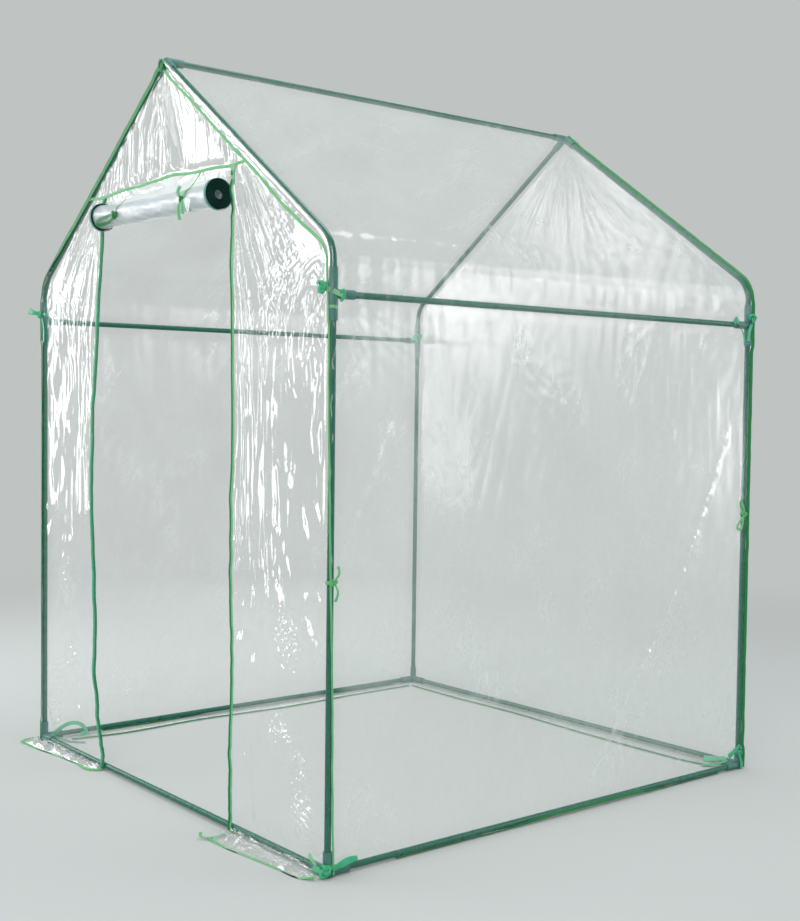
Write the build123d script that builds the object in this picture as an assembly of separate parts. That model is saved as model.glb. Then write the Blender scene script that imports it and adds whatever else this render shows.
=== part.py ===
"""Walk-in film greenhouse: a coated tube frame with moulded connectors under a clear film cover.

Millimetres, +Z up. The doorway is in the -Y side, and the greenhouse stands on z = 0 with the
origin at the centre of the ground that it covers.
"""

import os
from math import asin, atan2, cos, degrees, hypot, radians, sin, tan

from build123d import *

# The frame, between the centre lines of its tubes
frame_width = 1530.0
frame_depth = 1520.0
eave_height = 1325.0
ridge_height = 1985.0
bend_radius = 90.0
straight_above_arm = 11.0  # how far a rafter stays upright above its connector

# Tubes: both ends of each are closed by its connectors, so their bores are left out
tube_diameter = 16.0

# Moulded connectors: arm lengths are from the crossing of the centre lines to the mouth
socket_clearance = 0.2
sleeve_wall = 2.8
socket_stop = 14.0
stop_gap = 0.3
foot_thickness = 1.0  # below the rail sockets of a corner foot
base_upright_arm = 46.0
base_rail_arm = 58.0
eave_upright_arm = 60.0
eave_rail_arm = 58.0
ridge_arm = 50.0

# The film cover
film_thickness = 1.0
film_clearance = 0.3
seam_share = 0.5844  # how far down the roof's rise the welded seam over the doorway lies

# The doorway and its zip tapes
door_left = -375.0
door_right = 354.0
left_tape_width = 24.0
right_tape_width = 12.0
tape_thickness = 1.6

# The door, rolled up and tied under the seam, with the zip tape wound up at both ends
roll_diameter = 76.0
roll_left_inset = 59.0  # from the left edge of the doorway
roll_right_inset = 29.0
roll_forward = 30.0  # from the plane of the front posts
coil_lip = 1.5  # how far the wound tape stands out past the film
coil_width = 12.0
coil_core = 18.0
roll_gap = 31.5  # between the wound tape and the seam

# Skirts: how far the front flaps lie out from the plane of the posts, and the others in from it
right_flap_reach_at_door = 91.0
right_flap_reach_at_post = 58.0
right_flap_end_past_post = 8.0
left_flap_reach_at_door = 36.0
left_flap_reach_at_post = 70.0
left_flap_end_past_post = 25.0
inner_skirt_reach = 32.0
skirt_end_gap = 2.0

# Worked out from the sizes above
half_width = frame_width / 2
tube_radius = tube_diameter / 2
socket_radius = tube_radius + socket_clearance
sleeve_radius = socket_radius + sleeve_wall
tube_setback = socket_stop + stop_gap
base_height = sleeve_radius + foot_thickness

# The slope of the roof: the line from the ridge that just touches the circle of the bend
bend_centre_x = half_width - bend_radius
bend_start = eave_height + eave_upright_arm + straight_above_arm
ridge_to_bend = hypot(bend_centre_x, ridge_height - bend_start)
slope = atan2(ridge_height - bend_start, bend_centre_x) - asin(bend_radius / ridge_to_bend)
turn = radians(90) - slope
roof_rise = half_width * tan(slope)
bend_height = ridge_height - roof_rise  # where the lines of a post and its rafter cross

seam_height = ridge_height - seam_share * roof_rise
roll_radius = roll_diameter / 2
coil_radius = roll_radius + coil_lip
roll_height = seam_height - coil_radius - roll_gap
roll_from = door_left + roll_left_inset
roll_to = door_right - roll_right_inset

film_inside = sleeve_radius + film_clearance
film_outside = film_inside + film_thickness
front_y = -frame_depth / 2 + (right_flap_reach_at_door - film_outside) / 2
back_y = front_y + frame_depth
front_film_y = front_y - film_outside

LEFT = Vector(-1, 0, 0)
RIGHT = Vector(1, 0, 0)
BACK = Vector(0, 1, 0)
UP = Vector(0, 0, 1)
ON_START = (Align.CENTER, Align.CENTER, Align.MIN)
FROM_CORNER = (Align.MIN, Align.MIN, Align.MIN)


def rod(start, direction, near, far, radius):
    """A round bar along a direction, between two distances from the start."""
    plane = Plane(origin=start + direction * near, z_dir=direction)
    return plane * Cylinder(radius, far - near, align=ON_START)


def straight_tube(start, end):
    """A tube whose two ends stop short of the crossings that they are aimed at."""
    direction = (end - start).normalized()
    return rod(start, direction, tube_setback, (end - start).length - tube_setback, tube_radius)


def bent_rafter(side, y):
    """One tube: a short upright in the eave connector, the bend, and the slope to the ridge."""
    corner = Vector(side * half_width, y, bend_height)
    ridge = Vector(0, y, ridge_height)
    start = Vector(side * half_width, y, eave_height + tube_setback)
    end = ridge + (corner - ridge).normalized() * tube_setback
    path = FilletPolyline(start, corner, end, radius=bend_radius)
    return sweep(Plane(origin=start, z_dir=UP) * Circle(tube_radius), path=path)


def moulding(arms):
    """Round sleeves that meet at the origin, each with a blind socket that stops its tube."""
    centre = Vector(0, 0, 0)
    first, *others = [rod(centre, direction, 0, length, sleeve_radius) for direction, length in arms]
    body = first.fuse(*others)
    for direction, length in arms:
        body -= rod(centre, direction, socket_stop, length, socket_radius)
    return body


def corner_foot():
    """The front right foot: a post socket that stands on the ground and one for each base rail."""
    body = moulding([(UP, base_upright_arm), (LEFT, base_rail_arm), (BACK, base_rail_arm)])
    return body + rod(Vector(0, 0, 0), -UP, 0, base_height, sleeve_radius)


def eave_tee():
    """A front tee: the post below, the rafter above, and the eave rail going back."""
    return moulding([(UP, eave_upright_arm), (-UP, eave_upright_arm), (BACK, eave_rail_arm)])


def ridge_tee():
    """The front ridge connector: two sockets down the rafters and one for the ridge tube."""
    down_right = RIGHT * cos(slope) - UP * sin(slope)
    down_left = LEFT * cos(slope) - UP * sin(slope)
    return moulding([(down_right, ridge_arm), (down_left, ridge_arm), (BACK, ridge_arm)])


def placed(body, side, end, centre):
    """A copy of a front right moulding for another corner, mirrored as that corner needs."""
    if side < 0:
        body = mirror(body, about=Plane.YZ)
    if end == "back":
        body = mirror(body, about=Plane.XZ)
    return Pos(*centre) * body


def across(face, from_y, to_y):
    """A drawing in the X-Z plane, made solid from one Y to another."""
    return Pos(0, from_y, 0) * extrude(Plane.XZ * face, amount=-(to_y - from_y))


def on_side(sheet, side):
    """A right-hand sheet, or its mirror image for the left."""
    return sheet if side > 0 else mirror(sheet, about=Plane.YZ)


def house_outline(offset):
    """The face inside the frame's outline, moved out from the tubes' centre lines by offset."""
    eave_x = half_width + offset
    eave_z = bend_height + offset * tan(turn / 2)
    apex_z = ridge_height + offset / cos(slope)
    corners = [(-eave_x, 0), (eave_x, 0), (eave_x, eave_z), (0, apex_z), (-eave_x, eave_z)]
    outline = make_face(Polyline(*corners, close=True).edges())
    shoulders = [v for v in outline.vertices() if abs(v.Y - eave_z) < 1]
    return fillet(shoulders, bend_radius + offset)


def wall_film(side):
    """The upright side of the cover, from the ground to where the bend starts."""
    sheet = Box(film_thickness, frame_depth + 2 * film_outside, bend_start, align=FROM_CORNER)
    return on_side(Pos(half_width + film_inside, front_film_y, 0) * sheet, side)


def shoulder_film(side):
    """The cover where it follows the bend of the rafters."""
    centre = (bend_centre_x, bend_start)
    inner = CenterArc(centre, bend_radius + film_inside, 0, degrees(turn))
    outer = CenterArc(centre, bend_radius + film_outside, 0, degrees(turn))
    ends = [Line(inner @ 0, outer @ 0), Line(inner @ 1, outer @ 1)]
    face = make_face([inner.edge(), outer.edge(), *[line.edge() for line in ends]])
    return on_side(across(face, front_film_y, back_y + film_outside), side)


def roof_film(side):
    """The sloping cover, from the bend to the ridge."""
    run = bend_centre_x + bend_radius * sin(slope)
    start_z = bend_start + bend_radius * cos(slope)
    corners = [
        (run + film_inside * sin(slope), start_z + film_inside * cos(slope)),
        (run + film_outside * sin(slope), start_z + film_outside * cos(slope)),
        (0, ridge_height + film_outside / cos(slope)),
        (0, ridge_height + film_inside / cos(slope)),
    ]
    face = make_face(Polyline(*corners, close=True).edges())
    return on_side(across(face, front_film_y, back_y + film_outside), side)


def end_film(from_x, to_x, from_z, to_z, outer_y):
    """The part of a gable end between two uprights and two heights, as one flat sheet."""
    window = Pos((from_x + to_x) / 2, (from_z + to_z) / 2) * Rectangle(to_x - from_x, to_z - from_z)
    face = house_outline(sleeve_radius) & window
    return across(face, outer_y, outer_y + film_thickness)


def zip_tape(from_x, to_x):
    """The fixed half of a zip, along one edge of the doorway."""
    tape = Box(to_x - from_x, tape_thickness, seam_height, align=FROM_CORNER)
    return Pos(from_x, front_film_y, 0) * tape


def rolled_door():
    """The door film, wound into a roll, with the strip that still hangs from the seam."""
    start = Vector(roll_from + coil_width, front_y - roll_forward, roll_height)
    length = roll_to - roll_from - 2 * coil_width
    hanging = Box(length, film_thickness, seam_height - roll_height, align=FROM_CORNER)
    return rod(start, RIGHT, 0, length, roll_radius) + Pos(start.X, front_film_y, roll_height) * hanging


def zip_coil(start_x):
    """The zip tape wound up at one end of the roll, round an open core."""
    start = Vector(start_x, front_y - roll_forward, roll_height)
    return rod(start, RIGHT, 0, coil_width, coil_radius) - rod(start, RIGHT, 0, coil_width, coil_core / 2)


def ground_sheet(*corners):
    """A flat piece of the cover that lies on the ground."""
    return extrude(make_face(Polyline(*corners, close=True).edges()), amount=film_thickness)


def inner_side_skirt(side):
    """The hem of a side wall, tucked in under its base rail between the corner feet."""
    outer = half_width + film_inside
    inner = half_width - inner_skirt_reach
    near = front_y + base_rail_arm + skirt_end_gap
    far = back_y - base_rail_arm - skirt_end_gap
    return on_side(ground_sheet((inner, near), (outer, near), (outer, far), (inner, far)), side)


def inner_back_skirt():
    """The hem of the back, tucked in under its base rail between the corner feet."""
    reach_x = half_width - base_rail_arm - skirt_end_gap
    inner = back_y - inner_skirt_reach
    outer = back_y + film_inside
    return ground_sheet((-reach_x, inner), (reach_x, inner), (reach_x, outer), (-reach_x, outer))


def front_flap(door_x, end_x, reach_at_door, reach_at_post):
    """A skirt that lies out on the ground, between the doorway and a front corner."""
    return ground_sheet(
        (door_x, front_film_y), (end_x, front_film_y), (end_x, front_y - reach_at_post), (door_x, front_y - reach_at_door)
    )


def frame_pieces():
    """The tubes and the mouldings that hold them."""
    pieces = {}
    foot, eave_moulding, ridge_moulding = corner_foot(), eave_tee(), ridge_tee()
    for side_name, side in (("left", -1), ("right", 1)):
        x = side * half_width
        for end_name, y in (("front", front_y), ("back", back_y)):
            corner = f"{end_name}_{side_name}"
            base = Vector(x, y, base_height)
            eave = Vector(x, y, eave_height)
            pieces[f"{corner}_post"] = straight_tube(base, eave)
            pieces[f"{corner}_rafter"] = bent_rafter(side, y)
            pieces[f"{corner}_base_connector"] = placed(foot, side, end_name, base)
            pieces[f"{corner}_eave_connector"] = placed(eave_moulding, side, end_name, eave)
        for level, z in (("base", base_height), ("eave", eave_height)):
            pieces[f"{side_name}_{level}_rail"] = straight_tube(Vector(x, front_y, z), Vector(x, back_y, z))
    for end_name, y in (("front", front_y), ("back", back_y)):
        left_foot = Vector(-half_width, y, base_height)
        right_foot = Vector(half_width, y, base_height)
        pieces[f"{end_name}_base_rail"] = straight_tube(left_foot, right_foot)
        ridge = Vector(0, y, ridge_height)
        pieces[f"{end_name}_ridge_connector"] = placed(ridge_moulding, 1, end_name, ridge)
    pieces["ridge_tube"] = straight_tube(Vector(0, front_y, ridge_height), Vector(0, back_y, ridge_height))
    return pieces


def cover_pieces():
    """The film cover, panel by panel, with the hems on the ground."""
    pieces = {}
    for side_name, side in (("left", -1), ("right", 1)):
        pieces[f"{side_name}_wall_film"] = wall_film(side)
        pieces[f"{side_name}_shoulder_film"] = shoulder_film(side)
        pieces[f"{side_name}_roof_film"] = roof_film(side)
        pieces[f"{side_name}_inner_skirt"] = inner_side_skirt(side)
    edge = half_width + film_outside
    top = ridge_height + film_outside / cos(slope)
    pieces["front_left_film"] = end_film(-edge, door_left - left_tape_width, 0, seam_height, front_film_y)
    pieces["front_right_film"] = end_film(door_right + right_tape_width, edge, 0, seam_height, front_film_y)
    pieces["front_gable_film"] = end_film(-edge, edge, seam_height, top, front_film_y)
    pieces["back_film"] = end_film(-edge, edge, 0, top, back_y + film_inside)
    pieces["back_inner_skirt"] = inner_back_skirt()
    pieces["right_front_skirt"] = front_flap(
        door_right, edge + right_flap_end_past_post, right_flap_reach_at_door, right_flap_reach_at_post
    )
    pieces["left_front_skirt"] = front_flap(
        door_left, -edge - left_flap_end_past_post, left_flap_reach_at_door, left_flap_reach_at_post
    )
    return pieces


def door_pieces():
    """The rolled door and both halves of its zips."""
    return {
        "left_door_zip": zip_tape(door_left - left_tape_width, door_left),
        "right_door_zip": zip_tape(door_right, door_right + right_tape_width),
        "rolled_door": rolled_door(),
        "left_zip_coil": zip_coil(roll_from),
        "right_zip_coil": zip_coil(roll_to - coil_width),
    }


os.makedirs("parts", exist_ok=True)
for name, piece in {**frame_pieces(), **cover_pieces(), **door_pieces()}.items():
    export_step(piece, f"parts/{name}.step")
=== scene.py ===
"""Walk-in film greenhouse: the wrinkled clear cover, bindings, ties and rolled door, round the CAD frame.

Metres, +Z up, doorway towards -Y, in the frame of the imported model.
"""

from math import asin, atan2, cos, hypot, pi, radians, sin

import bmesh
import bpy
import numpy as np
from mathutils import Matrix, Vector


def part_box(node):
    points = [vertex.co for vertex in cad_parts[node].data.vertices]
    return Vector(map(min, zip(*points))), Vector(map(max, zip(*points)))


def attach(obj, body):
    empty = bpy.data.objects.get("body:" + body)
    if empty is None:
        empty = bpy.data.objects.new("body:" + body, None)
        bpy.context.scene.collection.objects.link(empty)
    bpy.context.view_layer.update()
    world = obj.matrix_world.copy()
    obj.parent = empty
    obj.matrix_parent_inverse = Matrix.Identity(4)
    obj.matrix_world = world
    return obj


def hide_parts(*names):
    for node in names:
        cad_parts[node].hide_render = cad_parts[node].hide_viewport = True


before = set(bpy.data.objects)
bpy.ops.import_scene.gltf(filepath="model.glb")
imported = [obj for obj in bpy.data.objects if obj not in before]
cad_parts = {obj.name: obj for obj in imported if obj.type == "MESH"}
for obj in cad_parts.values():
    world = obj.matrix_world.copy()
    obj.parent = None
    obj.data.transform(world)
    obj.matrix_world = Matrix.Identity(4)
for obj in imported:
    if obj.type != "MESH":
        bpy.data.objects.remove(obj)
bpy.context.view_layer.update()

bl_info = {
    "name": "Walk-in film greenhouse",
    "version": (1, 0, 0),
    "blender": (4, 5, 0),
    "location": "View3D > Sidebar > Greenhouse",
    "description": "Builds the film cover, bindings, ties and rolled door of a film greenhouse",
    "category": "Object",
}

# Sizes read from the frame


def middle(node):
    """Centre of a CAD node's box."""
    low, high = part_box(node)
    return (np.array(low) + np.array(high)) / 2


HALF_WIDTH = middle("right_eave_rail")[0]
FRONT = middle("front_right_post")[1]
BACK = middle("back_right_post")[1]
EAVE = middle("right_eave_rail")[2]
RIDGE = middle("ridge_tube")[2]
BASE = middle("front_base_rail")[2]
DEPTH = BACK - FRONT
BEND_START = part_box("right_wall_film")[1][2]
BEND_RADIUS = 0.090
TUBE_RADIUS = 0.008
SLEEVE_RADIUS = 0.011
ROLL_LEFT, ROLL_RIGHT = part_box("left_zip_coil")[0][0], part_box("right_zip_coil")[1][0]
ROLL_AXIS = middle("left_zip_coil")[1:]

# The slope of the roof: the line from the ridge that just touches the circle of the bend
BEND_CENTRE = HALF_WIDTH - BEND_RADIUS
SLOPE = atan2(RIDGE - BEND_START, BEND_CENTRE) - asin(BEND_RADIUS / hypot(BEND_CENTRE, RIDGE - BEND_START))
TURN = pi / 2 - SLOPE
SLOPE_LENGTH = (BEND_CENTRE + BEND_RADIUS * sin(SLOPE)) / cos(SLOPE)
BEND_END = BEND_START + BEND_RADIUS * TURN
RIDGE_END = BEND_END + SLOPE_LENGTH

# The film lies this far from the tubes' centre lines, and a quarter turn takes it round an end frame
LIFT = TUBE_RADIUS + 0.0008
CORNER = LIFT * pi / 2
# Between the tubes of the front the film hangs back by this much
SAG = 0.0045

# Where the binding runs, as a distance round the corner of the front frame, for lengths up the outline
RIGHT_EDGE = np.array([
    (-0.01, -0.009), (0.18, -0.005), (0.41, -0.002), (0.64, 0.004), (0.86, 0.008), (1.09, 0.0135),
    (1.33, 0.017), (1.42, 0.027), (1.49, 0.036), (1.56, 0.041), (1.66, 0.0435), (1.80, 0.0385),
    (2.00, 0.0380), (2.18, 0.0355), (2.31, 0.0375), (2.40, 0.032)
])
LEFT_EDGE = np.array([
    (-0.01, 0.010), (1.20, 0.011), (1.40, 0.009), (1.47, 0.009), (1.60, 0.013), (1.85, 0.0175),
    (2.10, 0.0180), (2.40, 0.0180)
])
# The doorway's two edges as the slack film holds them: height, then distance from the middle
LEFT_DOOR = np.array([
    (0.0, -0.341), (0.05, -0.350), (0.12, -0.370), (0.25, -0.388), (0.375, -0.395), (0.52, -0.407),
    (0.63, -0.418), (0.75, -0.424), (0.86, -0.423), (0.98, -0.417), (1.10, -0.410), (1.20, -0.403),
    (1.30, -0.394), (1.38, -0.384), (1.46, -0.368), (1.55, -0.353), (1.65, -0.344)
])
RIGHT_DOOR = np.array([
    (0.0, 0.366), (0.40, 0.364), (0.84, 0.360), (1.33, 0.354), (1.60, 0.357), (1.66, 0.359)
])
SEAM_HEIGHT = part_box("front_right_film")[1][2]
# The seam arches a little in the middle: distance from the middle, then height over its ends
SEAM_ARCH = np.array([
    (-0.415, -0.0016), (-0.37, -0.0035), (-0.307, -0.0022), (-0.245, 0.0018), (-0.127, 0.0044),
    (-0.015, 0.0074), (0.039, 0.0098), (0.092, 0.007), (0.144, 0.003), (0.244, 0.0018), (0.339, -0.0024),
    (0.404, 0.001)
])

# Outer edges of the flaps in front and inner edges of the hems, as the film happens to lie on the ground
RIGHT_FLAP = [
    (0.372, -0.800, 0), (0.45, -0.803, 0), (0.55, -0.793, 0), (0.66, -0.783, 0), (0.736, -0.777, 0),
    (0.775, -0.757, 0)
]
LEFT_FLAP = [
    (-0.345, -0.752, 0), (-0.45, -0.762, 0), (-0.56, -0.770, 0), (-0.68, -0.786, 0), (-0.785, -0.790, 0)
]
HEM_ENDS = (FRONT + 0.070, BACK - 0.070)
LEFT_HEM = [
    (-0.712, HEM_ENDS[0], 0), (-0.690, -0.50, 0), (-0.704, -0.20, 0), (-0.686, 0.15, 0), (-0.702, 0.45, 0),
    (-0.706, HEM_ENDS[1], 0)
]
RIGHT_HEM = [
    (0.744, HEM_ENDS[0], 0), (0.741, -0.45, 0), (0.746, -0.10, 0), (0.743, 0.20, 0), (0.740, 0.48, 0),
    (0.744, HEM_ENDS[1], 0)
]
BACK_HEM = [
    (-0.700, 0.742, 0), (-0.45, 0.736, 0), (-0.15, 0.744, 0), (0.20, 0.728, 0), (0.46, 0.726, 0),
    (0.64, 0.733, 0), (0.700, 0.746, 0)
]

# The rolled door: its radius, where its tie pinches it and where its left strap starts
ROLL_RADIUS = (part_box("left_zip_coil")[1][2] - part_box("left_zip_coil")[0][2]) / 2 - 0.0015
ROLL_PINCH, ROLL_STRAP = 0.193, -0.170


# Lines, noise and grids


def smooth_value(x, knots):
    """Height at x of a smooth curve of cubic pieces, each knot's slope taken from its neighbours."""
    xs, ys = knots[:, 0], knots[:, 1]
    slopes = np.gradient(ys, xs)
    x = np.clip(x, xs[0], xs[-1])
    k = np.clip(np.searchsorted(xs, x, side="right") - 1, 0, len(xs) - 2)
    step = xs[k + 1] - xs[k]
    u = (x - xs[k]) / step
    start = (1 + 2 * u) * (1 - u) ** 2 * ys[k] + u * (1 - u) ** 2 * step * slopes[k]
    return start + u * u * (3 - 2 * u) * ys[k + 1] - u * u * (1 - u) * step * slopes[k + 1]


def line_through(points, count):
    """A smooth line of count points through the given ones, by smooth_value along its chord length."""
    points = np.array(points, float)
    along = np.concatenate([[0], np.cumsum(np.linalg.norm(np.diff(points, axis=0), axis=1))])
    at = np.linspace(0, along[-1], count)
    return np.stack([smooth_value(at, np.stack([along, axis], 1)) for axis in points.T], 1)


def unit(vectors):
    """Vectors of length 1, along the last axis."""
    return vectors / np.maximum(np.linalg.norm(vectors, axis=-1, keepdims=True), 1e-12)


def ease(x, low, high):
    """0 below low, 1 above high, and a smooth S between them."""
    t = np.clip((x - low) / (high - low), 0, 1)
    return t * t * (3 - 2 * t)


def noise(x, y, seed):
    """Smooth noise from about -1 to 1: slopes at whole-number points, blended by a fifth-power curve."""
    ix, iy = np.floor(x), np.floor(y)
    fx, fy = x - ix, y - iy

    def from_corner(dx, dy):
        mixed = np.sin((ix + dx) * 127.1 + (iy + dy) * 311.7 + seed * 53.3) * 43758.5453
        angle = 2 * pi * (mixed - np.floor(mixed))
        return np.cos(angle) * (fx - dx) + np.sin(angle) * (fy - dy)

    u = fx**3 * (fx * (fx * 6 - 15) + 10)
    v = fy**3 * (fy * (fy * 6 - 15) + 10)
    low = from_corner(0, 0) * (1 - u) + from_corner(1, 0) * u
    high = from_corner(0, 1) * (1 - u) + from_corner(1, 1) * u
    return 1.5 * (low * (1 - v) + high * v)


def creases(x, y, seed, sharp=3.0):
    """Sharp crests from 0 to 1 along the lines where the noise changes sign, as folded film has."""
    return np.maximum(1 - np.abs(noise(x, y, seed)) * sharp, 0)


def facets(x, y, seed):
    """Crumpled film: flat faces that meet in edges, from the folded-over values of noise at two scales."""
    coarse = np.abs(noise(x, y, seed))
    fine = np.abs(noise(2.3 * x + 0.7 * y, 2.3 * y - 0.7 * x, seed + 9))
    return coarse + 0.45 * fine


def pleats(x):
    """A wave of straight flanks, from 0 to 1 and back for every whole number."""
    return np.abs(2 * (x - np.floor(x)) - 1)


def outline(s):
    """Point and outward direction of the frame's right-hand outline, s metres up from the ground.

    It goes straight up the post, round the circle of the bend, straight up the slope, and then turns on the
    spot over the ridge tube.
    """
    bend = np.clip((s - BEND_START) / BEND_RADIUS, 0, TURN)
    climb = np.clip(s - BEND_END, 0, SLOPE_LENGTH)
    over = np.clip((s - RIDGE_END) / LIFT, 0, SLOPE)
    x = BEND_CENTRE + BEND_RADIUS * np.cos(bend) - climb * cos(SLOPE)
    z = np.minimum(s, BEND_START) + BEND_RADIUS * np.sin(bend) + climb * sin(SLOPE)
    return x, z, np.cos(bend + over), np.sin(bend + over)


def shell(s, round_end, side, end):
    """Points and outward directions of film laid on the frame.

    s is the length up the outline. round_end is the length from the line over an end frame's tubes: less
    than 0 along the side towards the middle, then a quarter circle round the tube, then inwards across the
    end.
    """
    x, z, nx, nz = outline(s)
    angle = np.clip(round_end / LIFT, 0, pi / 2)
    inwards = np.maximum(round_end - LIFT * pi / 2, 0)
    out = end * np.sin(angle)
    face_x, face_z = np.cos(angle) * nx, np.cos(angle) * nz
    y = (BACK if end > 0 else FRONT) + end * np.minimum(round_end, 0) + LIFT * out
    points = np.stack([side * (x + LIFT * face_x - inwards * nx), y, z + LIFT * face_z - inwards * nz], -1)
    return points, np.stack([side * face_x, out, face_z], -1)


# The frame as round bars, which the film has to clear


def bars():
    """The sleeves of the connectors, and the tubes, as (start, end, radius) rows."""
    sleeves, tubes = [], []
    for side in (-1, 1):
        for y, inward in ((FRONT, 1), (BACK, -1)):
            foot, eave, ridge = (side * HALF_WIDTH, y, BASE), (side * HALF_WIDTH, y, EAVE), (0, y, RIDGE)
            for centre, arms in (
                (foot, [(0, 0, 0.046), (-side * 0.058, 0, 0), (0, inward * 0.058, 0)]),
                (eave, [(0, 0, 0.060), (0, 0, -0.060), (0, inward * 0.058, 0)]),
                (ridge, [(side * 0.050 * cos(SLOPE), 0, -0.050 * sin(SLOPE)), (0, inward * 0.050, 0)]),
            ):
                sleeves += [(centre, tuple(np.add(centre, arm)), SLEEVE_RADIUS) for arm in arms]
            x, z, _, _ = outline(np.array([0.01, BEND_START, BEND_START + 0.043, BEND_END, RIDGE_END]))
            path = np.stack([side * x, np.full(5, y), z], 1)
            tubes += [(a, b, TUBE_RADIUS) for a, b in zip(path[:-1], path[1:])]
        for height in (BASE, EAVE):
            tubes.append((
                (side * HALF_WIDTH, FRONT, height), (side * HALF_WIDTH, BACK, height), TUBE_RADIUS
            ))
    tubes.append(((0, FRONT, RIDGE), (0, BACK, RIDGE), TUBE_RADIUS))
    for y in (FRONT, BACK):
        tubes.append(((-HALF_WIDTH, y, BASE), (HALF_WIDTH, y, BASE), TUBE_RADIUS))
    return sleeves, tubes


SLEEVES, TUBES = bars()


def distance(points, start, end):
    """Distance of each point from a straight bar's centre line."""
    start, run = np.array(start, float), np.subtract(end, start)
    share = np.clip((points - start) @ run / (run @ run), 0, 1)
    return np.linalg.norm(points - start - share[..., None] * run, axis=-1)


def clearance(points):
    """Distance of each point from the surface of the nearest tube or sleeve."""
    nearest = np.full(points.shape[:-1], 9.0)
    for start, end, radius in TUBES + SLEEVES:
        nearest = np.minimum(nearest, distance(points, start, end) - radius)
    return nearest


def laid(points, normals, wrinkle, sag=0.0):
    """Film moved along its outward direction, out by its wrinkles and in by sag.

    Where it lies on a tube, inward wrinkles fade to nothing and outward ones to an eighth. Over each
    connector sleeve a soft swelling, a bell curve of the sideways distance from it, moves the film out.
    """
    nearest = np.full(points.shape[:-1], 9.0)
    for start, end, _ in TUBES + SLEEVES:
        nearest = np.minimum(nearest, distance(points, start, end))
    swell = np.zeros_like(nearest)
    for start, end, radius in SLEEVES:
        sideways = np.sqrt(np.maximum(distance(points, start, end) ** 2 - LIFT**2, 0))
        swell = np.maximum(swell, (radius + 0.0006 - LIFT) * np.exp(-((sideways / 0.011) ** 2)))
    free = ease(nearest, 0.010, 0.045)
    outward = np.where(wrinkle > 0, np.maximum(free, 0.12), free)
    return points + normals * (wrinkle * outward + swell - sag * ease(nearest, LIFT, 0.032))[..., None]


def seam_height(x):
    """Height of the welded seam over the doorway."""
    return SEAM_HEIGHT + smooth_value(np.asarray(x, float), SEAM_ARCH)


# Wrinkles


def fan(x, z, centre, still):
    """Coordinates that turn noise into folds fanning out of a centre: across the folds, then along them.

    Closer than still the folds spread like rays, and further away they run on side by side.
    """
    reach, angle = np.hypot(x - centre[0], centre[1] - z), np.arctan2(x - centre[0], centre[1] - z)
    return angle * np.maximum(reach, still), reach


# Left edge of the clear hollow under the ridge: distance from the ridge, then angle from straight down
HOLLOW = np.array([
    (0.04, -0.50), (0.08, -0.30), (0.13, -0.08), (0.205, 0.07), (0.26, 0.15), (0.34, 0.215), (0.45, 0.23)
])


def gable_wrinkles(x, z):
    """Depth of the wrinkles over the seam: rays from the ridge.

    A swelling on the left drops across a clear hollow, whose left edge is HOLLOW, to a calm flat part on
    the right, and from there the film rises again to its edge. Fine rays cover it, weaker on the calm part.
    """
    reach, angle = np.hypot(x, RIDGE + 0.02 - z), np.arctan2(x, RIDGE + 0.02 - z)
    left, right, edge = smooth_value(reach, HOLLOW), 0.335, 0.96
    height = 0.0050 * ease(reach, 0.0, 0.12)
    broad = np.where(
        angle < left, height * (angle + edge) / (left + edge),
        height - 2 * height * ease(angle, left, right)
    )
    broad = np.where(angle > 0.76, -height * (1 - ease(angle, 0.76, edge)), broad)
    calm = ease(angle, right - 0.02, right + 0.06) * ease(-angle, -0.80, -0.70)
    across = angle * np.maximum(reach, 0.22)
    rays = (
        0.0064 * noise(across / 0.036, reach / 0.40, 3)
        + 0.0036 * creases(across / 0.034, reach / 0.26, 5, 2.2)
    )
    rays += (
        0.0015 * creases(across / 0.015 + 3, reach / 0.11, 7, 2.4)
        + 0.0014 * facets(across / 0.024, reach / 0.045, 8)
    )
    hollow = ease(angle, left + 0.02, left + 0.08) * (1 - calm)
    rays *= (1 - 0.78 * calm) * (1 - 0.88 * hollow * ease(-angle, -0.72, -0.60))
    ridge = 0.0022 * np.exp(-(((angle - left) * reach / 0.006) ** 2))
    return broad + rays + ridge


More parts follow.
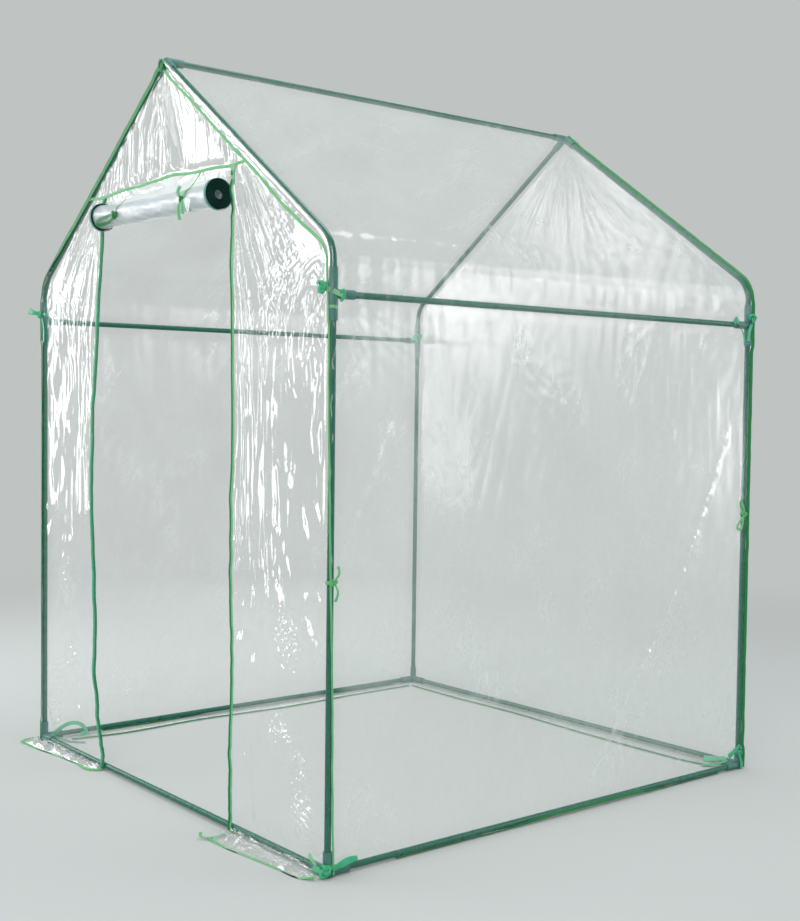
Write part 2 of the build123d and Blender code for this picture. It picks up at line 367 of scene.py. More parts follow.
def panel_wrinkles(x, z):
    """Depth of the wrinkles beside the doorway.

    They fan out from its top corner and run down as upright folds, crossed near the eave by a second fan
    from its tie, crumpled there and over the hem, and almost flat on the right beside the shoulder.
    """
    side = np.where(x > 0, 1.0, -1.0)
    out = np.abs(x)
    across, along = fan(out, z, (0.32, SEAM_HEIGHT + 0.10), 0.50)
    across = across + 3.0 * side
    calm = 0.30 + 0.70 * ease(noise(across / 0.17, along / 0.30, 19), -0.20, 0.25)
    upright = ease(-out, -0.58, -0.46)
    strength = 0.17 + 0.83 * np.maximum(upright, ease(z, 1.34, 1.50))
    folds = strength * 0.0056 * noise(across / 0.052, along / 0.50, 11)
    folds += calm * strength * 0.0036 * creases(across / 0.046, along / 0.32, 12, 2.3)
    folds += (
        calm * strength * 0.0016 * creases(across / 0.019, along / 0.13, 13, 2.4)
        + 0.0030 * upright * noise(across / 0.026, along / 0.34, 14)
    )
    # Long slanting folds in the outer half, as if drawn towards the foot of the post
    slanted = (out - 0.42 * (SEAM_HEIGHT - z)) * 0.92
    lower = (1 - upright) * ease(-z, -1.34, -1.22)
    folds += (
        lower * ease(noise(out / 0.10 + side, z / 0.17, 55), -0.25, 0.20)
        * (
            0.0052 * noise(slanted / 0.070, (z + 0.4 * out) / 0.30, 16 + side)
            + 0.0024 * creases(slanted / 0.085, (z + 0.4 * out) / 0.16, 50 + side, 2.2)
        )
    )
    crumpled = (
        ease(out, 0.40, 0.60) * ease(z, 1.10, 1.36) * 1.2 + 1.3 * ease(-z, -0.34, -0.06) + 0.30
        - 0.14 * lower
    )
    folds += 0.0028 * crumpled * calm * facets(
        (across + 0.45 * along) / 0.040, (along - 0.35 * across) / 0.055, 15
    )
    # Low down the slack film bulges
    folds += (
        0.0042 * ease(-z, -1.00, -0.60) * noise(out / 0.085 + 2 * side, z / 0.060, 38)
        * ease(noise(out / 0.16, z / 0.20, 39 + side), -0.1, 0.4)
    )
    folds += crumples(x, z)[0]
    tie_across, tie_along = fan(out, z, (HALF_WIDTH - 0.02, EAVE + 0.02), 0.06)
    folds += 0.0036 * np.exp(-tie_along / 0.16) * creases(tie_across / 0.030, tie_along / 0.12, 17, 2.0)
    flat = (
        np.clip(1.5 * np.exp(-(((out - 0.690) / 0.115) ** 2) - ((z - 1.500) / 0.115) ** 2), 0, 1)
        * np.where(x > 0, 1.0, 0.6)
    )
    fine = 0.0003 * creases((out + z) / 0.030, (z - 0.4 * out) / 0.12, 18, 3) * flat
    return folds * (1 - 0.93 * flat) + fine


# Crumpled places low on the front: distance from the middle, height, size and depth
CRUMPLED = (
    (0.660, 0.225, 0.045, 0.0060), (0.672, 0.118, 0.044, 0.0012), (0.560, 0.300, 0.050, 0.0060),
    (0.600, 0.520, 0.060, 0.0050)
)
# Those below this height lie over the hem
HEM_LEVEL = 0.15


def crumples(x, z):
    """Depth of the crumpled places low on the front, and how white their creases are.

    Each place is a bell curve round a distance from the middle and a height, with its size and its depth.
    The one over the hem is pleated. How white the creases are is a painted highlight: it whitens the haze
    along the crease lines and pleat crests, where glints would be.
    """
    side, out = np.where(x > 0, 1.0, -1.0), np.abs(x)
    depth, white = 0 * out, 0 * out
    for place, level, size, deep in CRUMPLED:
        near = np.exp(-(((out - place) / size) ** 2) - ((z - level) / size) ** 2)
        depth += deep * near * facets((out + z) / 0.030, (z - out) / 0.022, 40 + side)
        over_hem = ease(near, 0.1, 0.5) * (level < HEM_LEVEL)
        pleat = pleats((z + 0.40 * out) / 0.019 + 0.25 * noise(out / 0.030, z / 0.025, 52 + side))
        depth += 0.0034 * over_hem * pleat
        # Painted highlight: the pleat crests and the crease lines below are whitened where glints would be
        white += 1.3 * over_hem * pleat**2
        white += near * deep / 0.008 * creases(
            (z + 0.45 * out) / 0.022, (out - 0.3 * z) / 0.050, 47 + side, 3.0
        )
    return depth, white


def front_wrinkles(x, z):
    """Depth of the wrinkles on the front, at a place across it and a height, fading out at the seam."""
    over = z - seam_height(x)
    above = ease(over, -0.004, 0.010)
    return (
        (above * gable_wrinkles(x, z) + (1 - above) * panel_wrinkles(x, z)) * ease(np.abs(over), 0.0, 0.030)
    )


# A crease that runs down the right side, as length along the side and height
DRAG_LINE = np.array([
    (0.10, 0.02), (0.20, 0.16), (0.316, 0.327), (0.450, 0.509), (0.584, 0.758), (0.691, 0.987), (0.74, 1.15)
])


def beside_drag(s, y):
    """Distance beside DRAG_LINE, and how strong its crease is there."""
    beside = (y - smooth_value(s, DRAG_LINE[:, ::-1])) * 0.78
    bursts = 0.35 + 0.65 * ease(noise(s / 0.06, s * 0, 29), -0.2, 0.3)
    return beside, ease(s, 0.02, 0.12) * ease(-s, -1.08, -0.98) * bursts


def side_wrinkles(s, y, seed=0):
    """Depth of the wrinkles on a side: a taut sheet with a soft billow, drag lines and fans at the eaves.

    s is the length up the outline and y the place along it. A crumpled crease follows DRAG_LINE, and at
    each eave connector crests fan out, as noise of the angle round it.
    """
    depth = (
        0.0020 * noise(y / 0.30, s / 0.42, 21 + seed)
        + 0.0007 * noise((y + 0.25 * s) / 0.075, (s - 0.3 * y) / 0.36, 22 + seed)
    )
    spots = ease(noise(y / 0.20, s / 0.24, 28 + seed), 0.0, 0.45)
    scales = spots * (0.45 + 0.55 * ease(s, 0.75, 1.20))
    depth += scales * (
        0.0011 * facets((y + 0.3 * s) / 0.034, (s - 0.3 * y) / 0.046, 24 + seed)
        + 0.0009 * creases((y - 0.35 * s) / 0.045, s / 0.12, 23 + seed, 1.8)
    )
    beside, strength = beside_drag(s, y)
    folded = 0.0008 + 0.0016 * facets(y / 0.022, s / 0.030, 26 + seed)
    pleat = pleats((s + 0.6 * y) / 0.028 + 0.6 * noise(s / 0.05, y / 0.05, 49))
    folded = folded + (0.0026 + 0.0022 * ease(-s, -0.85, -0.40)) * pleat
    depth += strength * np.exp(-((beside / 0.012) ** 2)) * folded
    # Soft folds that run down over the shoulder
    shoulder = np.exp(-(((s - EAVE - 0.02) / 0.30) ** 2))
    depth += shoulder * (
        0.0016 * noise((y + 0.06 * s) / 0.040, s / 0.50, 36 + seed)
        + 0.0009 * creases(y / 0.050, s / 0.26, 37 + seed, 2.2)
    )
    for end_y, turned in ((FRONT, 1), (BACK, -1)):
        along, up = (y - end_y) * turned, s - EAVE
        reach, angle = np.hypot(along, up), np.arctan2(up, np.maximum(along, 1e-3))
        depth += (
            0.0018 * np.exp(-reach / 0.12) * creases(angle / 0.13, reach / 0.4, 25 + seed + turned, 1.8)
        )
    hem = ease(-s, -0.22, -0.02)
    return depth + 0.0018 * hem * creases(y / 0.055 + 0.5 * s / 0.1, s / 0.12, 27 + seed, 1.6)


# Meshes


def grid_faces(rows, columns, wrap_columns=False):
    """Four-cornered faces between neighbours of a grid of points numbered row by row."""
    index = np.arange(rows * columns).reshape(rows, columns)
    if wrap_columns:
        index = np.hstack([index, index[:, :1]])
    corners = [index[:-1, :-1], index[:-1, 1:], index[1:, 1:], index[1:, :-1]]
    return np.stack(corners, -1).reshape(-1, 4)


# No piece reaches lower than this over the floor
LOWEST = 0.0004


def add_piece(name, parts, material, replaces=(), merge=False, flip=False):
    """One object from parts, each a dict of points and faces.

    A sheet also has its uv in metres, and says how creased, open and polished it is.
    """
    start, faces = 0, []
    for part in parts:
        faces.append(part["faces"] + start)
        start += len(part["points"])
    faces = np.concatenate(faces).astype(np.int32)
    if flip:
        faces = faces[:, ::-1]
    points = np.concatenate([part["points"] for part in parts])
    points[:, 2] = np.maximum(points[:, 2], LOWEST)
    mesh = bpy.data.meshes.new(name)
    mesh.vertices.add(len(points))
    mesh.vertices.foreach_set("co", points.astype(np.float32).ravel())
    mesh.loops.add(faces.size)
    mesh.loops.foreach_set("vertex_index", faces.ravel())
    mesh.polygons.add(len(faces))
    mesh.polygons.foreach_set("loop_start", np.arange(0, faces.size, 4, dtype=np.int32))
    mesh.update(calc_edges=True)
    if "uv" in parts[0]:
        uv = np.concatenate([part["uv"] for part in parts])[faces.ravel()]
        mesh.uv_layers.new(name="Sheet").data.foreach_set("uv", uv.astype(np.float32).ravel())
    for key in ("crease", "open", "polish"):
        if key in parts[0]:
            values = np.concatenate([part[key] for part in parts]).astype(np.float32)
            mesh.attributes.new(key, "FLOAT", "POINT").data.foreach_set("value", values)
    if merge:
        body = bmesh.new()
        body.from_mesh(mesh)
        bmesh.ops.remove_doubles(body, verts=body.verts, dist=1e-6)
        bmesh.ops.recalc_face_normals(body, faces=body.faces)
        body.to_mesh(mesh)
        body.free()
    mesh.validate()
    mesh.shade_smooth()
    mesh.materials.append(material)
    piece = bpy.data.objects.new(name, mesh)
    bpy.context.collection.objects.link(piece)
    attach(piece, "root")
    if replaces:
        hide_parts(*replaces)
    return piece


def sheet_part(points, crease=None, polish=None):
    """A sheet from a grid of points, with its uv as lengths across and along it.

    How open it is goes from 0 on a tube to 1 at 40 mm off it. It shines more where it is polished.
    """
    rows, columns = points.shape[:2]
    across = np.cumsum(np.linalg.norm(np.diff(points, axis=1, prepend=points[:, :1]), axis=-1), axis=1)
    along = np.cumsum(np.linalg.norm(np.diff(points, axis=0, prepend=points[:1]), axis=-1), axis=0)
    crease = np.zeros((rows, columns)) if crease is None else crease
    return {
        "points": points.reshape(-1, 3),
        "faces": grid_faces(rows, columns),
        "uv": np.stack([across, along], -1).reshape(-1, 2),
        "crease": crease.reshape(-1),
        "open": np.clip(clearance(points) / 0.040, 0, 1).reshape(-1),
        "polish": (np.zeros((rows, columns)) if polish is None else polish).reshape(-1),
    }


def roll_height(x):
    """Height of the rolled door's axis: it sags a little between its ends and hangs lower at the left."""
    span = np.clip((x - ROLL_LEFT) / (ROLL_RIGHT - ROLL_LEFT), 0, 1)
    return ROLL_AXIS[1] + 0.003 - 0.006 * span - 0.003 * np.sin(pi * span)


def roll_surface(x, angle):
    """Radius of the roll's outer turn: slim between the ends, crumpled, and drawn in by the tie."""
    share = np.clip((x - ROLL_LEFT) / (ROLL_RIGHT - ROLL_LEFT), 0, 1)
    loose = (
        0.0026 * (0.5 + 0.5 * noise(x / 0.10 + angle * 0.30, angle * 0.6 + x / 0.25, 112))
        + 0.0030 * creases(x / 0.13 - angle * 0.40, angle * 0.30, 113, 1.8)
    )
    loose = loose + 0.0020 * facets(x / 0.030, angle * 1.6, 114)
    loose = loose * (0.25 + 0.75 * ease(np.minimum(x - ROLL_LEFT, ROLL_RIGHT - x), 0.015, 0.075))
    tied = (
        0.0030 * np.exp(-(((x - ROLL_PINCH) / 0.012) ** 2))
        + 0.0012 * np.exp(-(((x - ROLL_PINCH) / 0.045) ** 2))
    )
    return ROLL_RADIUS - 0.0010 - 0.0034 * np.sin(pi * share) ** 0.6 - loose - tied


def oval(count, flat=2.6):
    """A closed section in half widths: a flattened ellipse, squarer as flat grows."""
    turn = np.arange(count) * 2 * pi / count
    c, s = np.cos(turn), np.sin(turn)
    return np.stack([np.sign(c) * np.abs(c) ** (2 / flat), np.sign(s) * np.abs(s) ** (2 / flat)], 1)


# Two lobes with a stitched groove between them, as folded binding tape has
BINDING_SECTION = np.array([
    (1, 0), (0.93, 0.62), (0.62, 1), (0.28, 0.80), (0.05, 0.42), (-0.28, 0.62), (-0.62, 0.85),
    (-0.93, 0.55), (-1, 0), (-0.93, -0.55), (-0.5, -0.8), (0, -0.55), (0.5, -0.9), (0.93, -0.62)
])


def swept(path, face, width, thickness, section):
    """A closed section carried along a path, its flat side towards face, and closed at both ends.

    Each ring is path + side * width * section x + face * thickness * section y, where side is square to the
    path and to face. Both ends shrink to a point on the path, which closes them flat.
    """
    count = len(path)
    along = unit(np.gradient(path, axis=0))
    face = np.broadcast_to(np.asarray(face, float), path.shape)
    face = unit(face - np.sum(face * along, -1, keepdims=True) * along)
    side = np.cross(along, face)
    width = np.broadcast_to(width, (count,)) / 2
    thickness = np.broadcast_to(thickness, (count,)) / 2
    rings = path[:, None] + (width[:, None] * section[:, 0])[..., None] * side[:, None]
    rings = rings + (thickness[:, None] * section[:, 1])[..., None] * face[:, None]
    ends = [np.repeat(path[i : i + 1, None], len(section), axis=1) for i in (0, count - 1)]
    rings = np.concatenate([ends[0], rings, ends[1]])
    return {"points": rings.reshape(-1, 3), "faces": grid_faces(count + 2, len(section), wrap_columns=True)}


RIBBON_THICKNESS = 0.0010


def ribbon(points, width, end_width=None, face=(0, -1, 0), around=None, count=40, leaf=0.0):
    """A flat ribbon through the given points.

    Its width runs evenly to end_width, and is wider by leaf in the middle. Its flat side turns towards
    face, or away from a line, given as around = (point, direction).
    """
    path = line_through(points, count)
    if around is not None:
        start, run = np.array(around[0], float), unit(np.array(around[1], float))
        face = path - start - ((path - start) @ run)[:, None] * run
    widths = (
        np.linspace(width, width if end_width is None else end_width, count)
        * (1 + leaf * np.sin(np.linspace(0, pi, count)))
    )
    return swept(path, face, widths, RIBBON_THICKNESS, oval(10, 3.2))


def knot(centre, size, face):
    """A pulled knot: ribbon along a trefoil, pressed flat.

    Its line is x = sin t + 2 sin 2t, y = cos t - 2 cos 2t, z = -sin 3t.
    """
    t = np.linspace(0, 2 * pi, 90)
    face = unit(np.array(face, float))
    right = unit(np.cross(face, (0.13, 0.21, 1.0)))
    up = np.cross(right, face)
    flat = np.stack([
        np.sin(t) + 2 * np.sin(2 * t), np.cos(t) - 2 * np.cos(2 * t), -0.75 * np.sin(3 * t)
    ], 1) * size / 6
    path = np.array(centre, float) + flat @ np.stack([right, up, face])
    return swept(
        path, np.cos(1.5 * t)[:, None] * face + np.sin(1.5 * t)[:, None] * right, size * 0.34, size * 0.13,
        oval(8)
    )


def post_band(x, y, height, width, tilt=0.0, lift=0.0022):
    """A turn of ribbon round a post and the film on it, higher by tilt on one side."""
    turn = np.linspace(0, 2 * pi, 40)
    reach = LIFT + lift
    path = np.stack([
        x + reach * np.cos(turn), y + reach * np.sin(turn), height + tilt * np.cos(turn + 1.0)
    ], 1)
    face = np.stack([np.cos(turn), np.sin(turn), 0 * turn], 1)
    return swept(path, face, width, 0.0011, oval(10, 3.2))


# Materials


def linear(hex_colour):
    """An sRGB hex colour as linear RGBA."""
    channels = [int(hex_colour[i : i + 2], 16) / 255 for i in (1, 3, 5)]
    return [c / 12.92 if c <= 0.04045 else ((c + 0.055) / 1.055) ** 2.4 for c in channels] + [1.0]


def node(tree, kind, settings=None, **links):
    """Adds a shader node with its own properties, settings, and its inputs, as values or (node, output)."""
    added = tree.nodes.new(kind)
    for key, value in (settings or {}).items():
        setattr(added, key, value)
    for key, value in links.items():
        socket = (
            added.inputs[int(key[1:])] if key[0] == "i" and key[1:].isdigit()
            else added.inputs[key.replace("_", " ")]
        )
        if isinstance(value, tuple) and isinstance(value[0], bpy.types.Node):
            tree.links.new(value[0].outputs[value[1]], socket)
        else:
            socket.default_value = value
    return added


def new_material(name):
    """An empty node material and its output node."""
    material = bpy.data.materials.new(name)
    material.use_nodes = True
    material.node_tree.nodes.clear()
    return material, material.node_tree, material.node_tree.nodes.new("ShaderNodeOutputMaterial")


def object_noise(tree, size, detail=2.0, roughness=0.5, stretch=(1, 1, 1)):
    """Noise on Object coordinates, its features about size metres, drawn out along an axis by stretch."""
    place = node(tree, "ShaderNodeTexCoord")
    spread = node(tree, "ShaderNodeMapping", i0=(place, "Object"))
    spread.inputs["Scale"].default_value = [1 / (size * s) for s in stretch]
    return node(tree, "ShaderNodeTexNoise", i0=(spread, 0), Scale=1.0, Detail=detail, Roughness=roughness)


def blend_value(tree, source, output, low, high, to_low, to_high):
    """Maps a value from one range to another, held at both ends."""
    return node(tree, "ShaderNodeMapRange", i0=(source, output), i1=low, i2=high, i3=to_low, i4=to_high)


def maths(tree, operation, *values):
    """A node that works out one value from others."""
    inputs = {f"i{index}": value for index, value in enumerate(values)}
    return node(tree, "ShaderNodeMath", {"operation": operation}, **inputs)


def shifting_colour(tree, size, dark, light, detail=3.0, roughness=0.6):
    """A colour that shifts softly between a dark and a light one, over about size metres."""
    shade = object_noise(tree, size, detail, roughness)
    colour = node(tree, "ShaderNodeMix", {"data_type": "RGBA"}, i0=(shade, 0))
    colour.inputs[6].default_value, colour.inputs[7].default_value = linear(dark), linear(light)
    return colour


def seen_directly(tree):
    """1 for rays from the camera, from gloss and through film, and 0 for rays that light things."""
    rays = node(tree, "ShaderNodeLightPath")
    shown = maths(tree, "MAXIMUM", (rays, "Is Camera Ray"), (rays, "Is Glossy Ray"))
    return maths(tree, "MAXIMUM", (shown, 0), (rays, "Is Transmission Ray"))


def film_material(name, tint, haze, haze_spread, gloss, ripple_mm, shine=0.085, onward=0.65, streak=0.0):
    """Soft calendered PVC film: see-through, with a faint milky haze, a wet gloss and handling ripples.

    A share of the light passes straight through, a share is scattered by the haze, more on a crease, where
    the film is stretched white and where the whitening is partly a painted highlight, and less where it
    lies on a tube, a painted shade that keeps the tube dark under it, and a share that grows towards the
    edges of the view is mirrored by the two faces of the film.
    """
    material, tree, out = new_material(name)
    crease = node(tree, "ShaderNodeAttribute", {"attribute_name": "crease"})
    apart = node(tree, "ShaderNodeAttribute", {"attribute_name": "open"})
    cloud = object_noise(tree, 0.22, 3.0, 0.6)
    misty = blend_value(tree, cloud, 0, 0.35, 0.68, haze, haze + haze_spread)
    # Whiter streaks in the haze down the film, 14 mm apart
    haze_streaks = object_noise(tree, 0.014, 3.0, 0.6, (1, 1.5, 7))
    haze_streaks = blend_value(tree, haze_streaks, 0, 0.52, 0.75, 0.0, streak)
    misty = maths(tree, "ADD", (misty, 0), (haze_streaks, 0))
    # A crease whitens the haze: partly the film's own whitening, and partly a painted highlight
    white = maths(tree, "MULTIPLY_ADD", (crease, "Fac"), 0.30, (misty, 0))
    # Painted shade: the haze fades where the film lies on a tube, so the tube stays dark under it
    touch = blend_value(tree, apart, "Fac", 0.10, 1.0, 0.05, 1.0)
    touch.interpolation_type = "SMOOTHSTEP"
    # A fold pinched up on a tube is whitened with haze even there: a painted glint
    tight = node(tree, "ShaderNodeAttribute", {"attribute_name": "polish"})
    painted_glint = maths(tree, "MULTIPLY", (crease, "Fac"), (tight, "Fac"))
    touch = maths(tree, "MAXIMUM", (touch, 0), (painted_glint, 0))
    white = maths(tree, "MULTIPLY", (white, 0), (touch, 0))
    # Handling ripples, 8 mm and 2.4 mm apart
    ripple = object_noise(tree, 0.008, 3.0, 0.62)
    pebble = object_noise(tree, 0.0024, 1.0)
    both = maths(tree, "MULTIPLY_ADD", (pebble, 0), 0.16, (ripple, 0))
    folded = blend_value(tree, crease, "Fac", 0.0, 1.0, ripple_mm / 1000, 5 * ripple_mm / 1000)
    bump = node(tree, "ShaderNodeBump", Strength=1.0, Distance=(folded, 0), Height=(both, 0))
    clear = node(tree, "ShaderNodeBsdfTransparent", Color=(1, 1, 1, 1))
    back_scatter = node(
        tree, "ShaderNodeBsdfPrincipled", Base_Color=linear(tint), Roughness=0.45, IOR=1.53,
        Normal=(bump, 0)
    )
    # The rest of the haze scatters light forwards, so film in front of a dark thing stays dark and open
    # film looks milky
    forwards = node(tree, "ShaderNodeBsdfTranslucent", Color=linear(tint), Normal=(bump, 0))
    haze_skin = node(tree, "ShaderNodeMixShader", Fac=onward, i1=(back_scatter, 0), i2=(forwards, 0))
    body = node(tree, "ShaderNodeMixShader", Fac=(white, 0), i1=(clear, 0), i2=(haze_skin, 0))
    # The strip pulled tight round the front frame is as bright as the clear front
    dull = blend_value(tree, tight, "Fac", 0.0, 1.0, gloss, min(gloss, 0.07))
    mirror = node(tree, "ShaderNodeBsdfGlossy", Color=(1, 1, 1, 1), Roughness=(dull, 0), Normal=(bump, 0))
    # The share mirrored is shine face on, and grows with the fifth power of the slant
    slant = node(tree, "ShaderNodeLayerWeight", Blend=0.5, Normal=(bump, 0))
    rise = maths(tree, "POWER", (slant, "Facing"), 5.0)
    least = blend_value(tree, tight, "Fac", 0.0, 1.0, shine, max(shine, 0.17))
    # A crease is doubled film, with twice the mirroring faces
    doubled = blend_value(tree, crease, "Fac", 0.0, 1.0, 0.0, 0.11)
    least = maths(tree, "ADD", (least, 0), (doubled, 0))
    share = node(
        tree, "ShaderNodeMath", {"operation": "MULTIPLY_ADD", "use_clamp": True}, i0=(rise, 0), i1=0.28,
        i2=(least, 0)
    )
    # Pressed on a tube, it has one mirroring face less
    faces = blend_value(tree, apart, "Fac", 0.04, 0.35, 0.30, 1.0)
    faces = maths(tree, "MAXIMUM", (faces, 0), (tight, "Fac"))
    share = maths(tree, "MULTIPLY", (share, 0), (faces, 0))
    skin = node(tree, "ShaderNodeMixShader", Fac=(share, 0), i1=(body, 0), i2=(mirror, 0))
    tree.links.new(skin.outputs[0], out.inputs[0])
    return material


def tube_material():
    """Powder-coated steel tube: smooth deep green, glossy, with faint orange peel and dust."""
    material, tree, out = new_material("powder_coated_steel_tube")
    colour = shifting_colour(tree, 0.060, "#095743", "#106a55")
    dust = object_noise(tree, 0.020, 4.0, 0.65)
    rough = blend_value(tree, dust, 0, 0.35, 0.70, 0.22, 0.40)
    # Orange peel in the coating, 2 mm apart
    peel = object_noise(tree, 0.002, 1.0)
    bump = node(tree, "ShaderNodeBump", Strength=0.35, Distance=0.00005, Height=(peel, 0))
    body = node(
        tree, "ShaderNodeBsdfPrincipled", Base_Color=(colour, 2), Roughness=(rough, 0),
        Specular_IOR_Level=0.35, Coat_Weight=0.08, Coat_Roughness=0.15, Normal=(bump, 0)
    )
    tree.links.new(body.outputs[0], out.inputs[0])
    return material


def moulding_material():
    """Injection-moulded polyethylene: greyer green, dull, with fine scuffs."""
    material, tree, out = new_material("moulded_polyethylene")
    colour = shifting_colour(tree, 0.018, "#2b675e", "#407d73", 4.0, 0.65)
    # Scuffs drawn along the sleeve, 1.5 mm apart
    scuff = object_noise(tree, 0.0015, 2.0, 0.6)
    rough = blend_value(tree, scuff, 0, 0.3, 0.7, 0.42, 0.58)
    bump = node(tree, "ShaderNodeBump", Strength=0.4, Distance=0.00008, Height=(scuff, 0))
    body = node(
        tree, "ShaderNodeBsdfPrincipled", Base_Color=(colour, 2), Roughness=(rough, 0), Normal=(bump, 0)
    )
    tree.links.new(body.outputs[0], out.inputs[0])
    return material


def tape_material(name, dark, light, pitch, glow, roughness=0.45, specular=0.5):
    """Folded plastic or woven tape: softly shifting colour, a fine cross rib, some light through it."""
    material, tree, out = new_material(name)
    colour = shifting_colour(tree, 0.030, dark, light)
    # Ribs of the weave, drawn at about twice their real spacing so that they show
    rib = object_noise(tree, pitch, 1.0)
    bump = node(tree, "ShaderNodeBump", Strength=0.6, Distance=pitch * 0.12, Height=(rib, 0))
    body = node(
        tree, "ShaderNodeBsdfPrincipled", Base_Color=(colour, 2), Roughness=roughness,
        Specular_IOR_Level=specular, Normal=(bump, 0)
    )
    through = node(tree, "ShaderNodeBsdfTranslucent", Color=(colour, 2))
    skin = node(tree, "ShaderNodeMixShader", Fac=glow, i1=(body, 0), i2=(through, 0))
    tree.links.new(skin.outputs[0], out.inputs[0])
    return material


MATERIALS = {}


def materials():
    """The finishes, made once."""
    if not MATERIALS:
        MATERIALS.update(
            tube=tube_material(),
            moulding=moulding_material(),
            clear=film_material("clear_pvc_film", "#eef3f2", 0.05, 0.06, 0.06, 0.15, 0.095, streak=0.03),
            hazy=film_material("clouded_pvc_film", "#e9efec", 0.14, 0.14, 0.16, 0.13, 0.055, streak=0.05),
            rolled=film_material("rolled_pvc_film", "#f1f8fb", 0.34, 0.20, 0.26, 0.34, 0.050, 0.35),
            # binding and shaded are a lit and a shaded copy of the one green of the binding tape: binding
            # is paler with painted light, and shaded is darker with painted shade
            binding=tape_material("pvc_binding_tape", "#5cbc73", "#8bdb9b", 0.0014, 0.25),
            shaded=tape_material("pvc_binding_tape_painted_shade", "#0f7c3d", "#27994f", 0.0014, 0.20),
            ribbon=tape_material("polyester_ribbon", "#2bb07c", "#66d6a8", 0.0010, 0.30, 0.35),
            zip_dark=tape_material("woven_zip_tape", "#0a2924", "#163e35", 0.0012, 0.03, 0.80, 0.12),
            zip_green=tape_material("green_zip_tape", "#0d6a42", "#1d8056", 0.0012, 0.08, 0.60, 0.25),
            # rim is a paler teal for the outer turn of each wound zip tape: a painted highlight
            rim=tape_material("zip_tape_painted_highlight", "#3a8276", "#62aa9c", 0.0012, 0.10, 0.5),
            zip_light=tape_material("pale_zip_tape", "#7cc88f", "#a4dcae", 0.0012, 0.30, 0.5),
        )
    return MATERIALS


# The cover


def cover_columns(edge, count, end_count):
    """Places along a side for every row: from the front binding, along the side and round the back.

    They are lengths from the line over the front posts, less than 0 in front of it, and lie closer at both
    corners.
    """
    corner = 0.012
    near = (-edge)[:, None] + (corner + edge)[:, None] * np.linspace(0, 1, end_count)[None]
    straight = np.linspace(corner, DEPTH - corner, count)[None, 1:] * np.ones((len(edge), 1))
    far = DEPTH - corner + (corner + CORNER / 2) * np.linspace(0, 1, 8)[None, 1:] * np.ones((len(edge), 1))
    return np.concatenate([near, straight, far], 1)


def side_cover(side, rows, columns, seed):
    """One long sheet: up a wall, round the shoulder and up the roof, and round the corner at both ends."""
    s = np.linspace(0.001, RIDGE_END + LIFT * SLOPE, rows)
    edge = smooth_value(s, RIGHT_EDGE if side > 0 else LEFT_EDGE)
    c = cover_columns(edge, columns, 26)
    s = s[:, None] * np.ones_like(c)
    front_points, front_normals = shell(s, -c, side, -1)
    back_points, back_normals = shell(s, c - DEPTH, side, 1)
    is_front = (c < DEPTH / 2)[..., None]
    points = np.where(is_front, front_points, back_points)
    normals = np.where(is_front, front_normals, back_normals)
    facing = np.clip(-normals[..., 1], 0, 1) ** 2
    soft = side_wrinkles(s, FRONT + c, seed)
    sharp = (
        front_wrinkles(points[..., 0], points[..., 2])
        + 0.0022 * creases((s + 0.8 * c) / 0.034, c / 0.05 + s / 0.1, 43, 2)
    )
    spots = ease(noise(points[..., 1] / 0.20, s / 0.24, 28 + seed), 0.0, 0.45)
    crease = 0.6 * spots * creases((points[..., 1] - 0.35 * s) / 0.045, s / 0.12, 23 + seed, 5)
    beside, strength = beside_drag(s, points[..., 1])
    # Along the drag line the folds are sharp for short stretches
    crease += (
        strength * np.exp(-((beside / 0.0075) ** 2))
        * (0.25 + 0.75 * ease(noise(s / 0.045, points[..., 1] / 0.05, 48), -0.15, 0.15))
    )
    round_corner = (
        np.exp(-(((c - 0.002) / 0.016) ** 2))
        * (0.35 + 0.65 * ease(noise(s / 0.16, c * 0, 44 + seed), -0.3, 0.3))
    )
    loose = 0.0011 * round_corner * facets(s / 0.021, c / 0.014, 45 + seed)
    # Down each front post a pinched fold wanders round the tube, and shines in short stretches: partly
    # mirrored light, and partly a painted glint, as its crease whitens the film's haze
    fold = (
        -0.0055 + 0.0060 * noise(s / 0.16, c * 0, 56 + seed) + 0.0050 * noise(s / 0.035, c * 0, 57 + seed)
    )
    glints = (
        np.exp(-(((c - fold) / 0.0015) ** 2)) * ease(noise(s / 0.055, c * 0, 58 + seed), -0.10, 0.10)
        * ease(s, 0.42, 0.75) * ease(-s, -1.37, -1.34)
    )
    loose += 0.0008 * glints
    points = laid(points, normals, soft * (1 - facing) + sharp * facing, SAG * facing)
    return points + normals * loose[..., None], crease + 1.6 * glints, np.maximum(facing, glints)


